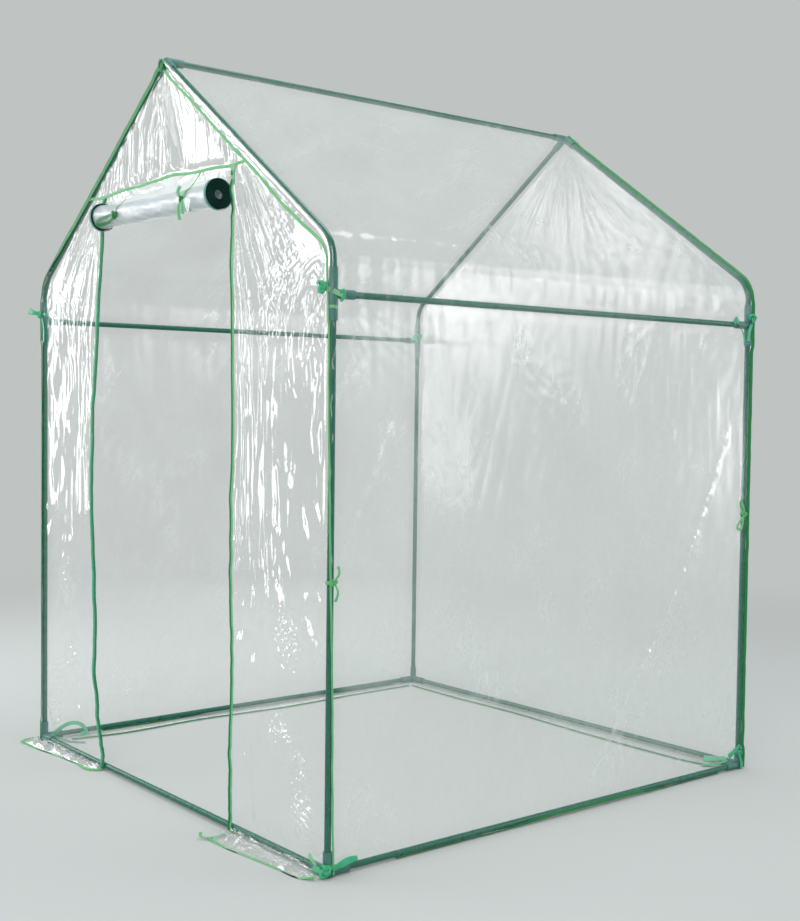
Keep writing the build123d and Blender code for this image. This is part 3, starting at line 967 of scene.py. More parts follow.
def panel(left, right, end, columns, wrinkle):
    """A sheet across one end, between two edges.

    Each edge is ("shell", side, lengths up the outline, lengths round the end) where it lies on the frame,
    or ("line", points). From a shell edge the film follows the frame for a short way, and straight lines
    join the two sides.
    """
    strips, normals = [], []
    flat = np.array([0.0, end, 0.0])
    inner = []
    for edge in (left, right):
        if edge[0] == "line":
            inner.append(edge[1])
            strips.append(None)
            normals.append(None)
            continue
        _, side, s, start = edge
        hold = 0.002 + 0.030 * ease(RIDGE_END - s, 0.0, 0.30)
        reach = np.maximum(start, CORNER) + hold
        share = np.linspace(0, 1, 14)[None]
        points, normal = shell(
            s[:, None] * np.ones_like(share), start[:, None] + (reach - start)[:, None] * share, side, end
        )
        strips.append(points)
        normals.append(normal)
        inner.append(points[:, -1])
    share = np.linspace(0, 1, columns)[None, :, None]
    centre = inner[0][:, None] * (1 - share) + inner[1][:, None] * share
    parts, part_normals = [centre], [np.broadcast_to(flat, centre.shape)]
    if strips[0] is not None:
        parts.insert(0, strips[0][:, :-1])
        part_normals.insert(0, normals[0][:, :-1])
    if strips[1] is not None:
        parts.append(strips[1][:, -2::-1])
        part_normals.append(normals[1][:, -2::-1])
    points, normal = np.concatenate(parts, 1), np.concatenate(part_normals, 1)
    depth = wrinkle(points[..., 0], points[..., 2])
    return laid(points, normal, depth, SAG if end < 0 else 0.0)


def seam_point(x):
    """Points of the welded seam over the doorway."""
    points = np.stack([x, np.full_like(x, FRONT - LIFT), seam_height(x)], -1)
    return laid(points, np.broadcast_to([0.0, -1.0, 0.0], points.shape), 0 * x, SAG)


def edge_at_seam(side, knots):
    """How far up the outline the binding of one side meets the seam."""
    s = np.linspace(BEND_END, RIDGE_END, 400)
    points, _ = shell(s, smooth_value(s, knots), side, -1)
    over = points[:, 2] - seam_height(points[:, 0])
    return float(np.interp(0.0, over, s))


RIGHT_SEAM, LEFT_SEAM = edge_at_seam(1, RIGHT_EDGE), edge_at_seam(-1, LEFT_EDGE)


def door_edge(knots, heights):
    """The line of one edge of the doorway."""
    return np.stack([smooth_value(heights, knots), np.full_like(heights, FRONT - LIFT), heights], -1)


def front_panel(side, rows, columns):
    """The film beside the doorway, from the ground to the seam."""
    knots, door, top = (
        (RIGHT_EDGE, RIGHT_DOOR, RIGHT_SEAM) if side > 0 else (LEFT_EDGE, LEFT_DOOR, LEFT_SEAM)
    )
    share = np.linspace(0, 1, rows)
    s = 0.001 + (top - 0.001) * share
    line = door_edge(door, 0.001 + (seam_height(side * 0.36) - 0.001) * share)
    outer = ("shell", side, s, smooth_value(s, knots))
    edges = (("line", line), outer) if side > 0 else (outer, ("line", line))
    return panel(*edges, -1, columns, front_wrinkles)


def gable_panel(rows, columns):
    """The film over the seam, up to the ridge."""
    share = np.linspace(0, 1, rows)
    right_s = RIGHT_SEAM + (RIDGE_END - 0.006 - RIGHT_SEAM) * share
    left_s = LEFT_SEAM + (RIDGE_END - 0.006 - LEFT_SEAM) * share
    left = ("shell", -1, left_s, smooth_value(left_s, LEFT_EDGE))
    right = ("shell", 1, right_s, smooth_value(right_s, RIGHT_EDGE))
    points = panel(left, right, -1, columns, front_wrinkles)
    points[..., 2] += smooth_value(points[..., 0], SEAM_ARCH) * (1 - share[:, None]) ** 2
    return points


def back_wrinkles(x, z):
    """Depth of the wrinkles on the back: soft drag lines from the ridge and the corners of a taut sheet."""
    reach, angle = np.hypot(x, RIDGE - z), np.arctan2(x, np.maximum(RIDGE - z, 1e-3))
    fan = np.exp(-reach / 0.5) * (
        0.0022 * noise(angle / 0.12, reach / 0.5, 31) + 0.0014 * creases(angle / 0.08, reach / 0.4, 32, 2)
    )
    drag = (
        0.0020 * noise((x + 0.4 * z) / 0.20, (z - 0.4 * x) / 0.60, 33)
        + 0.0008 * creases((x - 0.3 * z) / 0.09, z / 0.40, 34, 2)
    )
    return fan + drag + 0.0006 * facets(x / 0.050, z / 0.070, 35)


def back_sheet(rows, columns):
    """The whole back end, from the ground to the ridge."""
    s = np.linspace(0.001, RIDGE_END - 0.002, rows)
    start = np.full_like(s, CORNER / 2)
    return panel(("shell", -1, s, start), ("shell", 1, s, start), 1, columns, back_wrinkles)


def ground_flap(inner, outer, rows, columns, seed, loose=1.0):
    """A skirt that lies out on the ground, and how white its creases are: partly the film's own whitening
    at a fold, and partly a painted highlight along the crests.

    Straight lines run between its two long edges, with a rounded lift where it meets the wall, folds square
    to the wall and a few long ones beside it.
    """
    share = np.linspace(0, 1, rows)[:, None]
    inner = line_through(inner, columns)
    outer = line_through(outer, columns)
    points = inner[None] * (1 - share[..., None]) + outer[None] * share[..., None]
    x, y = points[..., 0], points[..., 1]
    rise = 0.012 * (1 - np.minimum(share / 0.16, 1)) ** 2
    ridges = creases((x + 0.5 * y) / 0.070, y / 0.11, seed + 1, 2)
    long_folds = creases(x / 0.30, (y + 0.03 * x) / 0.030, seed + 3, 2.2)
    folds = (
        0.0050 * np.maximum(noise(x / 0.055 + 2 * y, y / 0.10, seed), 0) + 0.0055 * ridges
        + 0.0040 * long_folds
    )
    folds += 0.0028 * facets(x / 0.026, y / 0.026, seed + 2)
    points[..., 2] = 0.0012 + rise + loose * folds * np.sin(pi * np.clip(share * 1.05, 0, 1)) ** 0.7
    # The crease crests are whitened: partly the film's own whitening at a fold, and partly a painted
    # highlight
    white = (
        creases((x + 0.5 * y) / 0.070, y / 0.11, seed + 1, 6)
        + creases(x / 0.30, (y + 0.03 * x) / 0.030, seed + 3, 6)
    )
    return points, loose * np.minimum(white, 1.0)


# Operators


def settings():
    """The values a user can change."""
    return bpy.context.scene.greenhouse_film, bpy.context.scene.greenhouse_stage


class GreenhouseFilm(bpy.types.PropertyGroup):
    """Sizes and density of the film cover."""

    side_rows: bpy.props.IntProperty(
        name="Side rows", description="Rows of points up a side of the cover", default=340, min=40, max=380
    )
    side_columns: bpy.props.IntProperty(
        name="Side columns", description="Columns of points along a side of the cover", default=225, min=30,
        max=240
    )
    binding_width: bpy.props.FloatProperty(
        name="Binding width", description="Width of the folded binding tape", default=0.0095, unit="LENGTH",
        subtype="DISTANCE"
    )
    binding_thickness: bpy.props.FloatProperty(
        name="Binding thickness", description="Thickness of the folded binding tape", default=0.0028,
        unit="LENGTH", subtype="DISTANCE"
    )
    ribbon_width: bpy.props.FloatProperty(
        name="Ribbon width", description="Width of the ribbon ties", default=0.009, unit="LENGTH",
        subtype="DISTANCE"
    )
    zip_width: bpy.props.FloatProperty(
        name="Zip width", description="Width of the left zip tape with its binding", default=0.0225,
        unit="LENGTH", subtype="DISTANCE"
    )


class GreenhouseStage(bpy.types.PropertyGroup):
    """Floor, light and camera."""

    background: bpy.props.FloatVectorProperty(
        name="Background", description="Colour of the backdrop and the far floor",
        default=linear("#bfc3c1")[:3], subtype="COLOR", size=3
    )
    lens: bpy.props.FloatProperty(
        name="Lens", description="Focal length on a 36 mm sensor", default=51.645, unit="CAMERA"
    )


class GREENHOUSE_OT_frame(bpy.types.Operator):
    """Gives the tubes and the moulded connectors of the CAD frame their finishes"""

    bl_idname = "greenhouse.frame"
    bl_label = "Finish the frame"

    def execute(self, context):
        made = materials()
        for name, node_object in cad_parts.items():
            if name.endswith("connector"):
                finish = made["moulding"]
            elif name.endswith(("post", "rail", "rafter", "tube")):
                finish = made["tube"]
            else:
                continue
            for material_slot in node_object.material_slots:
                material_slot.material = finish
        return {"FINISHED"}


class GREENHOUSE_OT_cover(bpy.types.Operator):
    """Adds the film on the sides, the back and the front"""

    bl_idname = "greenhouse.cover"
    bl_label = "Add the film cover"

    def execute(self, context):
        film, _ = settings()
        made = materials()
        sides = ((1, "right", film.side_rows, film.side_columns), (-1, "left", 200, 120))
        for side, word, rows, columns in sides:
            points, crease, polish = side_cover(side, rows, columns, 0 if side > 0 else 50)
            nodes = [f"{word}_{part}_film" for part in ("wall", "shoulder", "roof")]
            piece = add_piece(
                f"{word}_cover", [sheet_part(points, crease, polish=polish)], made["hazy"],
                nodes, flip=side > 0
            )
        back = add_piece(
            "back_sheet", [sheet_part(back_sheet(220, 130))], made["hazy"], ["back_film"]
        )
        gable = add_piece(
            "gable_panel", [sheet_part(gable_panel(190, 230))], made["clear"],
            ["front_gable_film"], flip=True
        )
        for side, word, rows, columns in ((1, "right", 560, 145), (-1, "left", 380, 100)):
            points = front_panel(side, rows, columns)
            piece = add_piece(
                f"front_{word}_panel",
                [sheet_part(points, 1.8 * crumples(points[..., 0], points[..., 2])[1])], made["clear"],
                [f"front_{word}_film"], flip=True
            )
        return {"FINISHED"}


class GREENHOUSE_OT_skirts(bpy.types.Operator):
    """Adds the flaps on the ground at the front and the hems tucked in under the rails"""

    bl_idname = "greenhouse.skirts"
    bl_label = "Add the skirts"

    def execute(self, context):
        made = materials()
        wall = FRONT - LIFT
        for word, inner, outer, seed in (
            ("right", [(0.366, wall, 0), (0.57, wall, 0), (0.770, wall, 0)], RIGHT_FLAP, 61),
            ("left", [(-0.350, wall, 0), (-0.57, wall, 0), (-0.776, wall, 0)], LEFT_FLAP, 71),
        ):
            points, crease = ground_flap(inner, outer, 40, 190, seed, 1.15 if word == "right" else 1.6)
            piece = add_piece(
                f"{word}_flap", [sheet_part(points, 1.9 * crease)], made["clear"],
                [f"{word}_front_skirt"], flip=word == "right"
            )
        far = HALF_WIDTH + 0.006
        for name, node_name, near, edge, cover in (
            ("right_hem", "right_inner_skirt", [(far, y, 0) for y in HEM_ENDS], RIGHT_HEM, "right_cover"),
            ("left_hem", "left_inner_skirt", [(-far, y, 0) for y in HEM_ENDS], LEFT_HEM, "left_cover"),
            (
                "back_hem", "back_inner_skirt", [(-0.700, BACK + 0.006, 0), (0.700, BACK + 0.006, 0)],
                BACK_HEM, "back_sheet"
            ),
        ):
            points, crease = ground_flap([near[0], np.mean(near, 0), near[1]], edge, 18, 240, 83, 0.7)
            points[..., 2] = np.minimum(points[..., 2], BASE - TUBE_RADIUS - 0.0006)
            piece = add_piece(
                name, [sheet_part(points, 0.4 * crease)], made["hazy"], [node_name],
                flip=name == "right_hem"
            )
        return {"FINISHED"}


class GREENHOUSE_OT_bindings(bpy.types.Operator):
    """Adds the green binding tape along the edges of the film"""

    bl_idname = "greenhouse.bindings"
    bl_label = "Add the bindings"

    def execute(self, context):
        film, _ = settings()
        made = materials()
        width, thick = film.binding_width, film.binding_thickness

        def bound(name, path, face, wide=width, finish="binding"):
            """Binding along a path, its flat side towards face."""
            add_piece(
                name, [swept(path, face, wide, thick, BINDING_SECTION)], made[finish],
                merge=True
            )

        # The right binding takes the copy of the tape with painted light, and the left one the copy with
        # painted shade
        sides = ((1, "right", RIGHT_EDGE, "binding"), (-1, "left", LEFT_EDGE, "shaded"))
        for side, word, knots, finish in sides:
            s = np.linspace(0.004, RIDGE_END - 0.004, 460)
            sway = 0.0011 * noise(s / 0.07, s * 0 + side, 101)
            path, face = shell(s, smooth_value(s, knots) + sway, side, -1)
            facing = np.clip(-face[:, 1], 0, 1) ** 2
            path = laid(path, face, front_wrinkles(path[:, 0], path[:, 2]) * facing, SAG * facing)
            # The left one lies open on its tube, and so looks wider
            wide = (
                0.0052 + 0.0036 * ease(s, 1.34, 1.50) if side > 0 else 0.0125 + 0.0040 * ease(s, 1.45, 1.60)
            )
            bound(f"front_{word}_binding", path + face * thick * 0.45, face, wide, finish)
            s = np.linspace(0.004, RIDGE_END, 420)
            path, face = shell(s, np.full_like(s, CORNER / 2), side, 1)
            path = (
                laid(path, face, 0 * s)
                + face * (width * (0.42 + 0.12 * noise(s / 0.05, s * 0, 103)))[:, None]
            )
            along = unit(np.gradient(path, axis=0))
            bound(f"back_{word}_binding", path, np.cross(along, face), width, "shaded")
            # The hem's binding comes out from under the base rail in the middle of the side
            y = np.linspace(FRONT + 0.20, BACK - 0.10, 220)
            turn = radians(-84) + radians(80) * ease(y, -0.30, 0.02) * ease(-y, -0.56, -0.30)
            out = LIFT + 0.0016 + 0.0007 * noise(y / 0.05, y * 0, 107)
            path = np.stack([
                side * (HALF_WIDTH + out * np.cos(turn)), y, np.maximum(BASE + out * np.sin(turn), 0.0016)
            ], 1)
            bound(
                f"{word}_hem_binding", path, np.stack([side * np.cos(turn), 0 * turn, np.sin(turn)], 1),
                width * 0.9, "shaded"
            )
        low, _ = shell(np.array([LEFT_SEAM]), smooth_value(np.array([LEFT_SEAM]), LEFT_EDGE), -1, -1)
        high, _ = shell(np.array([RIGHT_SEAM]), smooth_value(np.array([RIGHT_SEAM]), RIGHT_EDGE), 1, -1)
        x = np.linspace(low[0, 0] + 0.004, high[0, 0] - 0.004, 220)
        path = seam_point(x)
        path[:, 2] += 0.0026 * noise(x / 0.10, x * 0, 105)
        bound("seam_binding", path + np.array([0, -0.0012, 0]), (0, -1, 0), width * 0.85)
        # Round the flaps: out from the foot of each zip tape, along the front edge and back to the corner
        wall = FRONT - LIFT
        right = [
            (0.372, wall, 0.003), (0.376, -0.765, 0.004), (0.380, -0.800, 0.004), (0.366, -0.818, 0.008),
            (0.356, -0.812, 0.014)
        ]
        bound("right_flap_side_binding", line_through(right, 70), (0, 0, 1), width * 0.8)
        bound(
            "right_flap_binding",
            line_through([(0.378, -0.803, 0.004), *RIGHT_FLAP[1:-1], (0.768, -0.760, 0.008)], 160),
            (0, -0.3, 1), width * 0.8
        )
        left = [
            (-0.346, wall, 0.003), (-0.338, -0.742, 0.004), (-0.350, -0.757, 0.004), *LEFT_FLAP[1:-1],
            (-0.780, -0.792, 0.004)
        ]
        bound("left_flap_binding", line_through(left, 170), (0, -0.3, 1), width * 0.8)
        tip = [
            (-0.772, -0.795, 0.004), (-0.792, -0.770, 0.004), (-0.794, -0.735, 0.004),
            (-0.790, -0.712, 0.006)
        ]
        bound("left_flap_side_binding", line_through(tip, 60), (0, 0, 1), width * 0.8)
        # Hems on the ground inside
        for name, near in (("left_inner_binding", LEFT_HEM), ("back_inner_binding", BACK_HEM)):
            bound(
                name, line_through(near, 200) + np.array([0, 0, 0.0030]), (0, 0, 1), width * 0.8, "shaded"
            )
        # The binding is gathered in a loop at the ridge
        loop = np.array([
            (-0.006, 0.004), (0.002, -0.004), (0.002, -0.016), (-0.006, -0.024), (-0.015, -0.017),
            (-0.014, -0.004), (-0.006, 0.004)
        ])
        path = np.stack([loop[:, 0], np.linspace(wall - 0.003, wall - 0.006, 7), RIDGE + loop[:, 1]], 1)
        bound("ridge_loop", line_through(path, 60), (0, -1, 0), width * 0.75, "shaded")
        return {"FINISHED"}


class GREENHOUSE_OT_zips(bpy.types.Operator):
    """Adds the zip tapes down both edges of the doorway"""

    bl_idname = "greenhouse.zips"
    bl_label = "Add the zip tapes"

    def execute(self, context):
        film, _ = settings()
        made = materials()
        wall = FRONT - LIFT
        sides = ((1, "right", RIGHT_DOOR, "binding"), (-1, "left", LEFT_DOOR, "ribbon"))
        for side, word, knots, finish in sides:
            top = seam_height(side * 0.36) - 0.002
            z = np.linspace(0.004, top, 300)
            edge = door_edge(knots, z)
            edge = laid(
                edge, np.broadcast_to([0.0, -1.0, 0.0], edge.shape), front_wrinkles(edge[:, 0], edge[:, 2]),
                SAG
            )
            if side > 0:
                # The right tape is turned back under its binding, and shows beside it only near the ground
                pale, dark = 0.0060, 0.0115 + 0.003 * ease(-z, -0.30, -0.05)
                pale_at = edge
                dark_at = edge - np.stack([pale / 2 + dark / 2 - 0.001, -0.0006 + 0 * z, 0 * z], 1)
            else:
                pale, dark = film.zip_width * 0.40, film.zip_width * 0.64 + 0 * z
                pale_at = edge - np.array([film.zip_width * 0.30, 0, 0])
                dark_at = edge + np.array([film.zip_width * 0.20, 0.0004, 0])
            strip = swept(pale_at + np.array([0, -0.0014, 0]), (0, -1, 0), pale, 0.0018, BINDING_SECTION)
            add_piece(
                f"{word}_zip_edge", [strip], made[finish], [f"{word}_door_zip"], merge=True
            )
            teeth = swept(
                dark_at + np.array([0, -0.0008, 0]), (0, -1, 0), dark, 0.0018 + 0.0006 * np.sin(z / 0.0028),
                oval(10)
            )
            add_piece(f"{word}_zip_teeth", [teeth], made["zip_green"], merge=True)
        tab = ribbon([
            (0.351, wall + 0.001, SEAM_HEIGHT - 0.003), (0.352, wall, SEAM_HEIGHT - 0.026),
            (0.355, wall, SEAM_HEIGHT - 0.054)
        ], 0.023, 0.019)
        add_piece("right_zip_tab", [tab], made["zip_light"], merge=True)
        return {"FINISHED"}


class GREENHOUSE_OT_ties(bpy.types.Operator):
    """Adds the ribbon ties that hold the cover to the frame, with their knots and loose ends"""

    bl_idname = "greenhouse.ties"
    bl_label = "Add the ties"

    def execute(self, context):
        film, _ = settings()
        made = materials()
        right, wall, out = HALF_WIDTH, FRONT - LIFT, HALF_WIDTH + LIFT
        wide = film.ribbon_width
        front_post = ((right, FRONT, 0), (0, 0, 1))
        side = (1, 0, 0)

        def at(x, y, z, *offsets):
            """Points given by their offsets from a place."""
            return [(x + across, y + along, z + up) for across, along, up in offsets]

        def tie(name, parts, finish="ribbon"):
            """One tie, of several closed ribbons."""
            add_piece(name, parts, made[finish], merge=True)

        tie(
            "front_right_eave_tie",
            [
                knot((right - 0.016, wall - 0.008, EAVE + 0.016), 0.026, (0.25, -1, 0.1)),
                ribbon(at(
                    right, wall, EAVE, (-0.022, -0.006, 0.018), (-0.034, -0.010, 0.027),
                    (-0.046, -0.004, 0.024)
                ), wide * 0.7, wide * 1.5),
                ribbon(at(
                    right, wall, EAVE, (-0.022, -0.006, 0.014), (-0.032, -0.008, 0.006),
                    (-0.042, -0.004, 0.008)
                ), wide * 0.7, wide * 1.3),
                ribbon(at(
                    out, FRONT, EAVE, (0.004, 0.010, 0.002), (0.010, 0.016, 0.008), (0.006, 0.020, -0.006),
                    (0.003, 0.012, -0.016)
                ), wide * 0.6, wide, side),
            ],
        )
        wrap = [
            (right - 0.020, wall - 0.004, EAVE + 0.013), (right - 0.004, wall - 0.004, EAVE + 0.010),
            (out, wall + 0.003, EAVE + 0.006), (out + 0.004, FRONT + 0.006, EAVE),
            (out + 0.004, FRONT + 0.026, EAVE - 0.004)
        ]
        tie(
            "front_right_eave_wrap",
            [
                ribbon(wrap, wide * 1.1, wide * 1.5, around=front_post),
                post_band(right, FRONT, EAVE - 0.032, wide * 0.8, 0.003)
            ],
            "zip_light"
        )
        tie(
            "front_left_eave_tie",
            [
                knot((-right - 0.004, wall - 0.007, EAVE + 0.022), 0.020, (-0.1, -1, 0.1)),
                ribbon([
                    (-right - 0.006, wall - 0.006, EAVE + 0.024),
                    (-right - 0.018, wall - 0.016, EAVE + 0.026), (-0.812, wall - 0.024, EAVE + 0.034)
                ], wide, wide * 2.3, (0.3, -1, 0.2)),
                ribbon(at(
                    -right, wall, EAVE, (0.004, -0.004, 0.012), (0.014, -0.003, -0.020),
                    (0.018, -0.004, -0.066)
                ), wide, wide * 1.3),
                post_band(-right, FRONT, EAVE + 0.020, wide, 0.002),
            ],
        )
        tie(
            "front_right_post_tie",
            [
                post_band(right, FRONT, 0.674, wide, 0.001),
                knot((out + 0.004, FRONT + 0.002, 0.676), 0.015, (1, -0.5, 0)),
                ribbon(at(
                    out, FRONT, 0, (0.004, 0.004, 0.680), (0.009, 0.012, 0.696), (0.005, 0.012, 0.712)
                ), wide * 0.5, wide * 0.9, side),
                ribbon(at(
                    out, FRONT, 0, (0.004, 0.004, 0.672), (0.010, 0.008, 0.655), (0.004, 0.006, 0.632)
                ), wide * 0.5, wide * 0.9, side),
            ],
            "binding",
        )
        tie(
            "back_right_post_tie",
            [
                post_band(right, BACK, 0.765, wide * 0.8, 0.002),
                knot((out + 0.005, BACK - 0.012, 0.765), 0.017, (1, 0, 0)),
                ribbon(at(
                    out, BACK, 0, (0.005, -0.014, 0.768), (0.008, -0.022, 0.785), (0.008, -0.038, 0.806),
                    (0.006, -0.034, 0.788), (0.005, -0.018, 0.766)
                ), wide * 0.9, wide * 0.9, side),
                ribbon(at(
                    out, BACK, 0, (0.005, -0.014, 0.762), (0.008, -0.036, 0.750), (0.008, -0.052, 0.728),
                    (0.006, -0.030, 0.722), (0.005, -0.018, 0.756)
                ), wide * 0.9, wide * 0.9, side),
            ],
            "binding",
        )
        tie(
            "back_right_eave_tie",
            [
                knot((out + 0.006, BACK + 0.004, EAVE + 0.020), 0.028, (1, 0.1, 0)),
                ribbon(at(
                    out, BACK, EAVE, (0.005, 0.002, 0.006), (0.006, -0.010, -0.016), (0.004, -0.014, -0.048)
                ), wide * 1.5, wide * 1.8, side),
                ribbon(at(
                    out, BACK, EAVE, (0.003, -0.082, 0.002), (0.005, -0.074, 0.016), (0.003, -0.062, 0.003)
                ), wide * 1.5, wide * 1.5, side),
                ribbon(at(
                    out, BACK, EAVE, (0.003, -0.050, -0.008), (0.005, -0.040, -0.026),
                    (0.003, -0.028, -0.050)
                ), wide * 0.5, wide * 0.7, side),
            ],
            "ribbon",
        )
        tie(
            "back_left_eave_tie",
            [
                knot((-right + 0.020, BACK - 0.014, EAVE + 0.012), 0.030, (0.7, -0.7, 0)),
                ribbon(at(
                    -right, BACK, EAVE, (0.020, -0.018, 0.012), (0.030, -0.034, 0.018), (0.026, -0.050, 0)
                ), wide, wide * 1.5, side),
            ],
        )
        tie(
            "front_right_foot_tie",
            [
                knot((out + 0.002, wall - 0.006, BASE + 0.006), 0.029, (0.5, -1, 0.2)),
                ribbon(at(
                    right, wall, BASE, (-0.030, -0.010, 0.006), (-0.014, -0.010, 0.004),
                    (0.002, -0.009, 0.006)
                ), wide * 2.0, wide * 1.3, (0, -1, 0.4)),
                ribbon(at(
                    out, FRONT, BASE, (0.004, 0.004, 0.006), (0.010, 0.024, 0.016), (0.012, 0.046, 0.022),
                    (0.012, 0.070, 0.024)
                ), wide * 0.9, wide * 1.1, (1, 0, 0.3), leaf=0.9),
                post_band(right, FRONT, BASE + 0.012, wide, 0.003, 0.0036),
            ],
        )
        tie(
            "front_right_foot_tail",
            [
                ribbon(at(
                    right, wall, BASE, (-0.022, -0.008, 0.012), (-0.038, -0.010, 0.024),
                    (-0.052, -0.006, 0.030)
                ), wide * 0.8, wide * 1.5, (0, -1, 0.3))
            ],
            "zip_light",
        )
        inside = -right + 0.014
        tie(
            "front_left_foot_tie",
            [
                ribbon(at(
                    inside, FRONT, 0, (0, 0.022, 0.016), (0.004, 0.044, 0.034), (0.006, 0.080, 0.046),
                    (0.006, 0.116, 0.036), (0.010, 0.130, 0.014), (0.014, 0.110, 0.006)
                ), wide * 1.3, wide * 1.5, (1, 0, 0.4)),
                knot((inside + 0.002, FRONT + 0.022, 0.018), 0.018, (1, -0.3, 0.4)),
                ribbon(at(
                    inside, FRONT, 0, (0.006, 0.028, 0.010), (0.060, 0.052, 0.004), (0.100, 0.085, 0.003)
                ), wide, wide, (0, 0, 1)),
            ],
        )
        tie(
            "back_right_foot_tie",
            [
                ribbon(at(
                    out, BACK, 0, (0.004, -0.062, 0.046), (0.007, -0.046, 0.056), (0.005, -0.022, 0.066),
                    (0.004, -0.010, 0.074)
                ), wide * 2.0, wide * 1.3, side),
                ribbon(at(
                    out, BACK, 0, (0.004, -0.010, 0.046), (0.006, -0.004, 0.026), (0.005, 0.002, 0.003)
                ), wide * 0.9, wide * 1.8, side),
                knot((out + 0.006, BACK - 0.012, 0.050), 0.018, (1, -0.2, 0)),
                ribbon(at(
                    right, BACK, 0, (-0.030, -0.012, 0.022), (-0.070, -0.018, 0.016),
                    (-0.110, -0.022, 0.008)
                ), wide * 1.2, wide * 2.2, (0, -1, 0.5)),
                ribbon(at(
                    right, BACK, 0, (-0.026, -0.014, 0.018), (-0.050, -0.040, 0.008),
                    (-0.075, -0.075, 0.004)
                ), wide * 1.2, wide * 1.6, (0, -0.3, 1)),
            ],
            "ribbon",
        )

        # Round the rolled door
        def on_roll(x, degrees, lift=0.0016):
            """A point on the roll, by its place along it and its angle: 180 is in front, 270 below."""
            reach = float(roll_surface(np.array(x), np.array(radians(degrees % 360)))) + lift
            return (
                x, ROLL_AXIS[0] + reach * cos(radians(degrees)),
                roll_height(x) + reach * sin(radians(degrees))
            )

        axis = ((0, ROLL_AXIS[0], ROLL_AXIS[1]), (1, 0, 0))
        x = ROLL_PINCH
        front = on_roll(x, 185)[1] - 0.002
        loop = [on_roll(x - 0.003 * cos(radians(d)), d, 0.0018) for d in range(60, 421, 20)]
        towards = (0.45, -1, 0.1)
        tie(
            "roll_tie",
            [
                ribbon([
                    (x + 0.004, wall + 0.002, SEAM_HEIGHT), on_roll(x + 0.004, 112),
                    on_roll(x + 0.001, 160), on_roll(x, 185)
                ], wide * 0.9, wide, around=axis),
                ribbon(loop, wide * 0.6, around=axis, count=60),
                ribbon(at(
                    x, front, 0, (0.002, 0, 1.594), (-0.010, -0.004, 1.603), (-0.016, -0.003, 1.615),
                    (-0.012, 0.001, 1.627)
                ), wide * 0.8, wide * 1.2, towards),
                ribbon(at(
                    x, front, 0, (-0.001, -0.002, 1.592), (-0.006, -0.007, 1.574), (-0.009, -0.002, 1.541)
                ), wide * 0.7, wide * 1.1, towards),
                ribbon(at(
                    x, front, 0, (0.003, -0.002, 1.592), (0.010, -0.006, 1.576), (0.009, -0.003, 1.554)
                ), wide * 0.6, wide * 1.0, towards),
            ],
            "binding",
        )
        band = [
            on_roll(x + 0.014, 115, 0.0022), on_roll(x + 0.013, 150, 0.0022),
            on_roll(x + 0.010, 188, 0.0024)
        ]
        tie("roll_tie_band", [ribbon(band, wide * 0.9, wide * 0.7, around=axis)], "binding")
        tie("roll_knot", [knot((x, front - 0.003, 1.594), 0.014, (0.3, -1, 0))], "shaded")
        strap = ROLL_STRAP
        tie(
            "roll_left_tie",
            [
                ribbon([
                    (strap + 0.004, wall + 0.002, SEAM_HEIGHT - 0.002), on_roll(strap + 0.003, 115),
                    on_roll(strap + 0.002, 160), on_roll(strap, 186)
                ], wide * 0.30, wide * 0.45, around=axis),
                ribbon([
                    on_roll(strap, 184, 0.003), on_roll(strap - 0.040, 190, 0.003),
                    on_roll(strap - 0.080, 198, 0.003), on_roll(strap - 0.112, 208, 0.002),
                    on_roll(strap - 0.128, 222, 0.002)
                ], wide * 0.8, wide * 1.1, around=axis),
                ribbon([
                    on_roll(strap, 192, 0.003), on_roll(strap - 0.020, 206, 0.003),
                    on_roll(strap - 0.050, 220, 0.003), on_roll(strap - 0.090, 230, 0.002),
                    on_roll(strap - 0.126, 226, 0.002)
                ], wide * 0.9, wide * 1.2, around=axis),
                knot(on_roll(strap, 190, 0.004), 0.020, (0.3, -1, -0.1)),
            ],
            "shaded",
        )
        return {"FINISHED"}


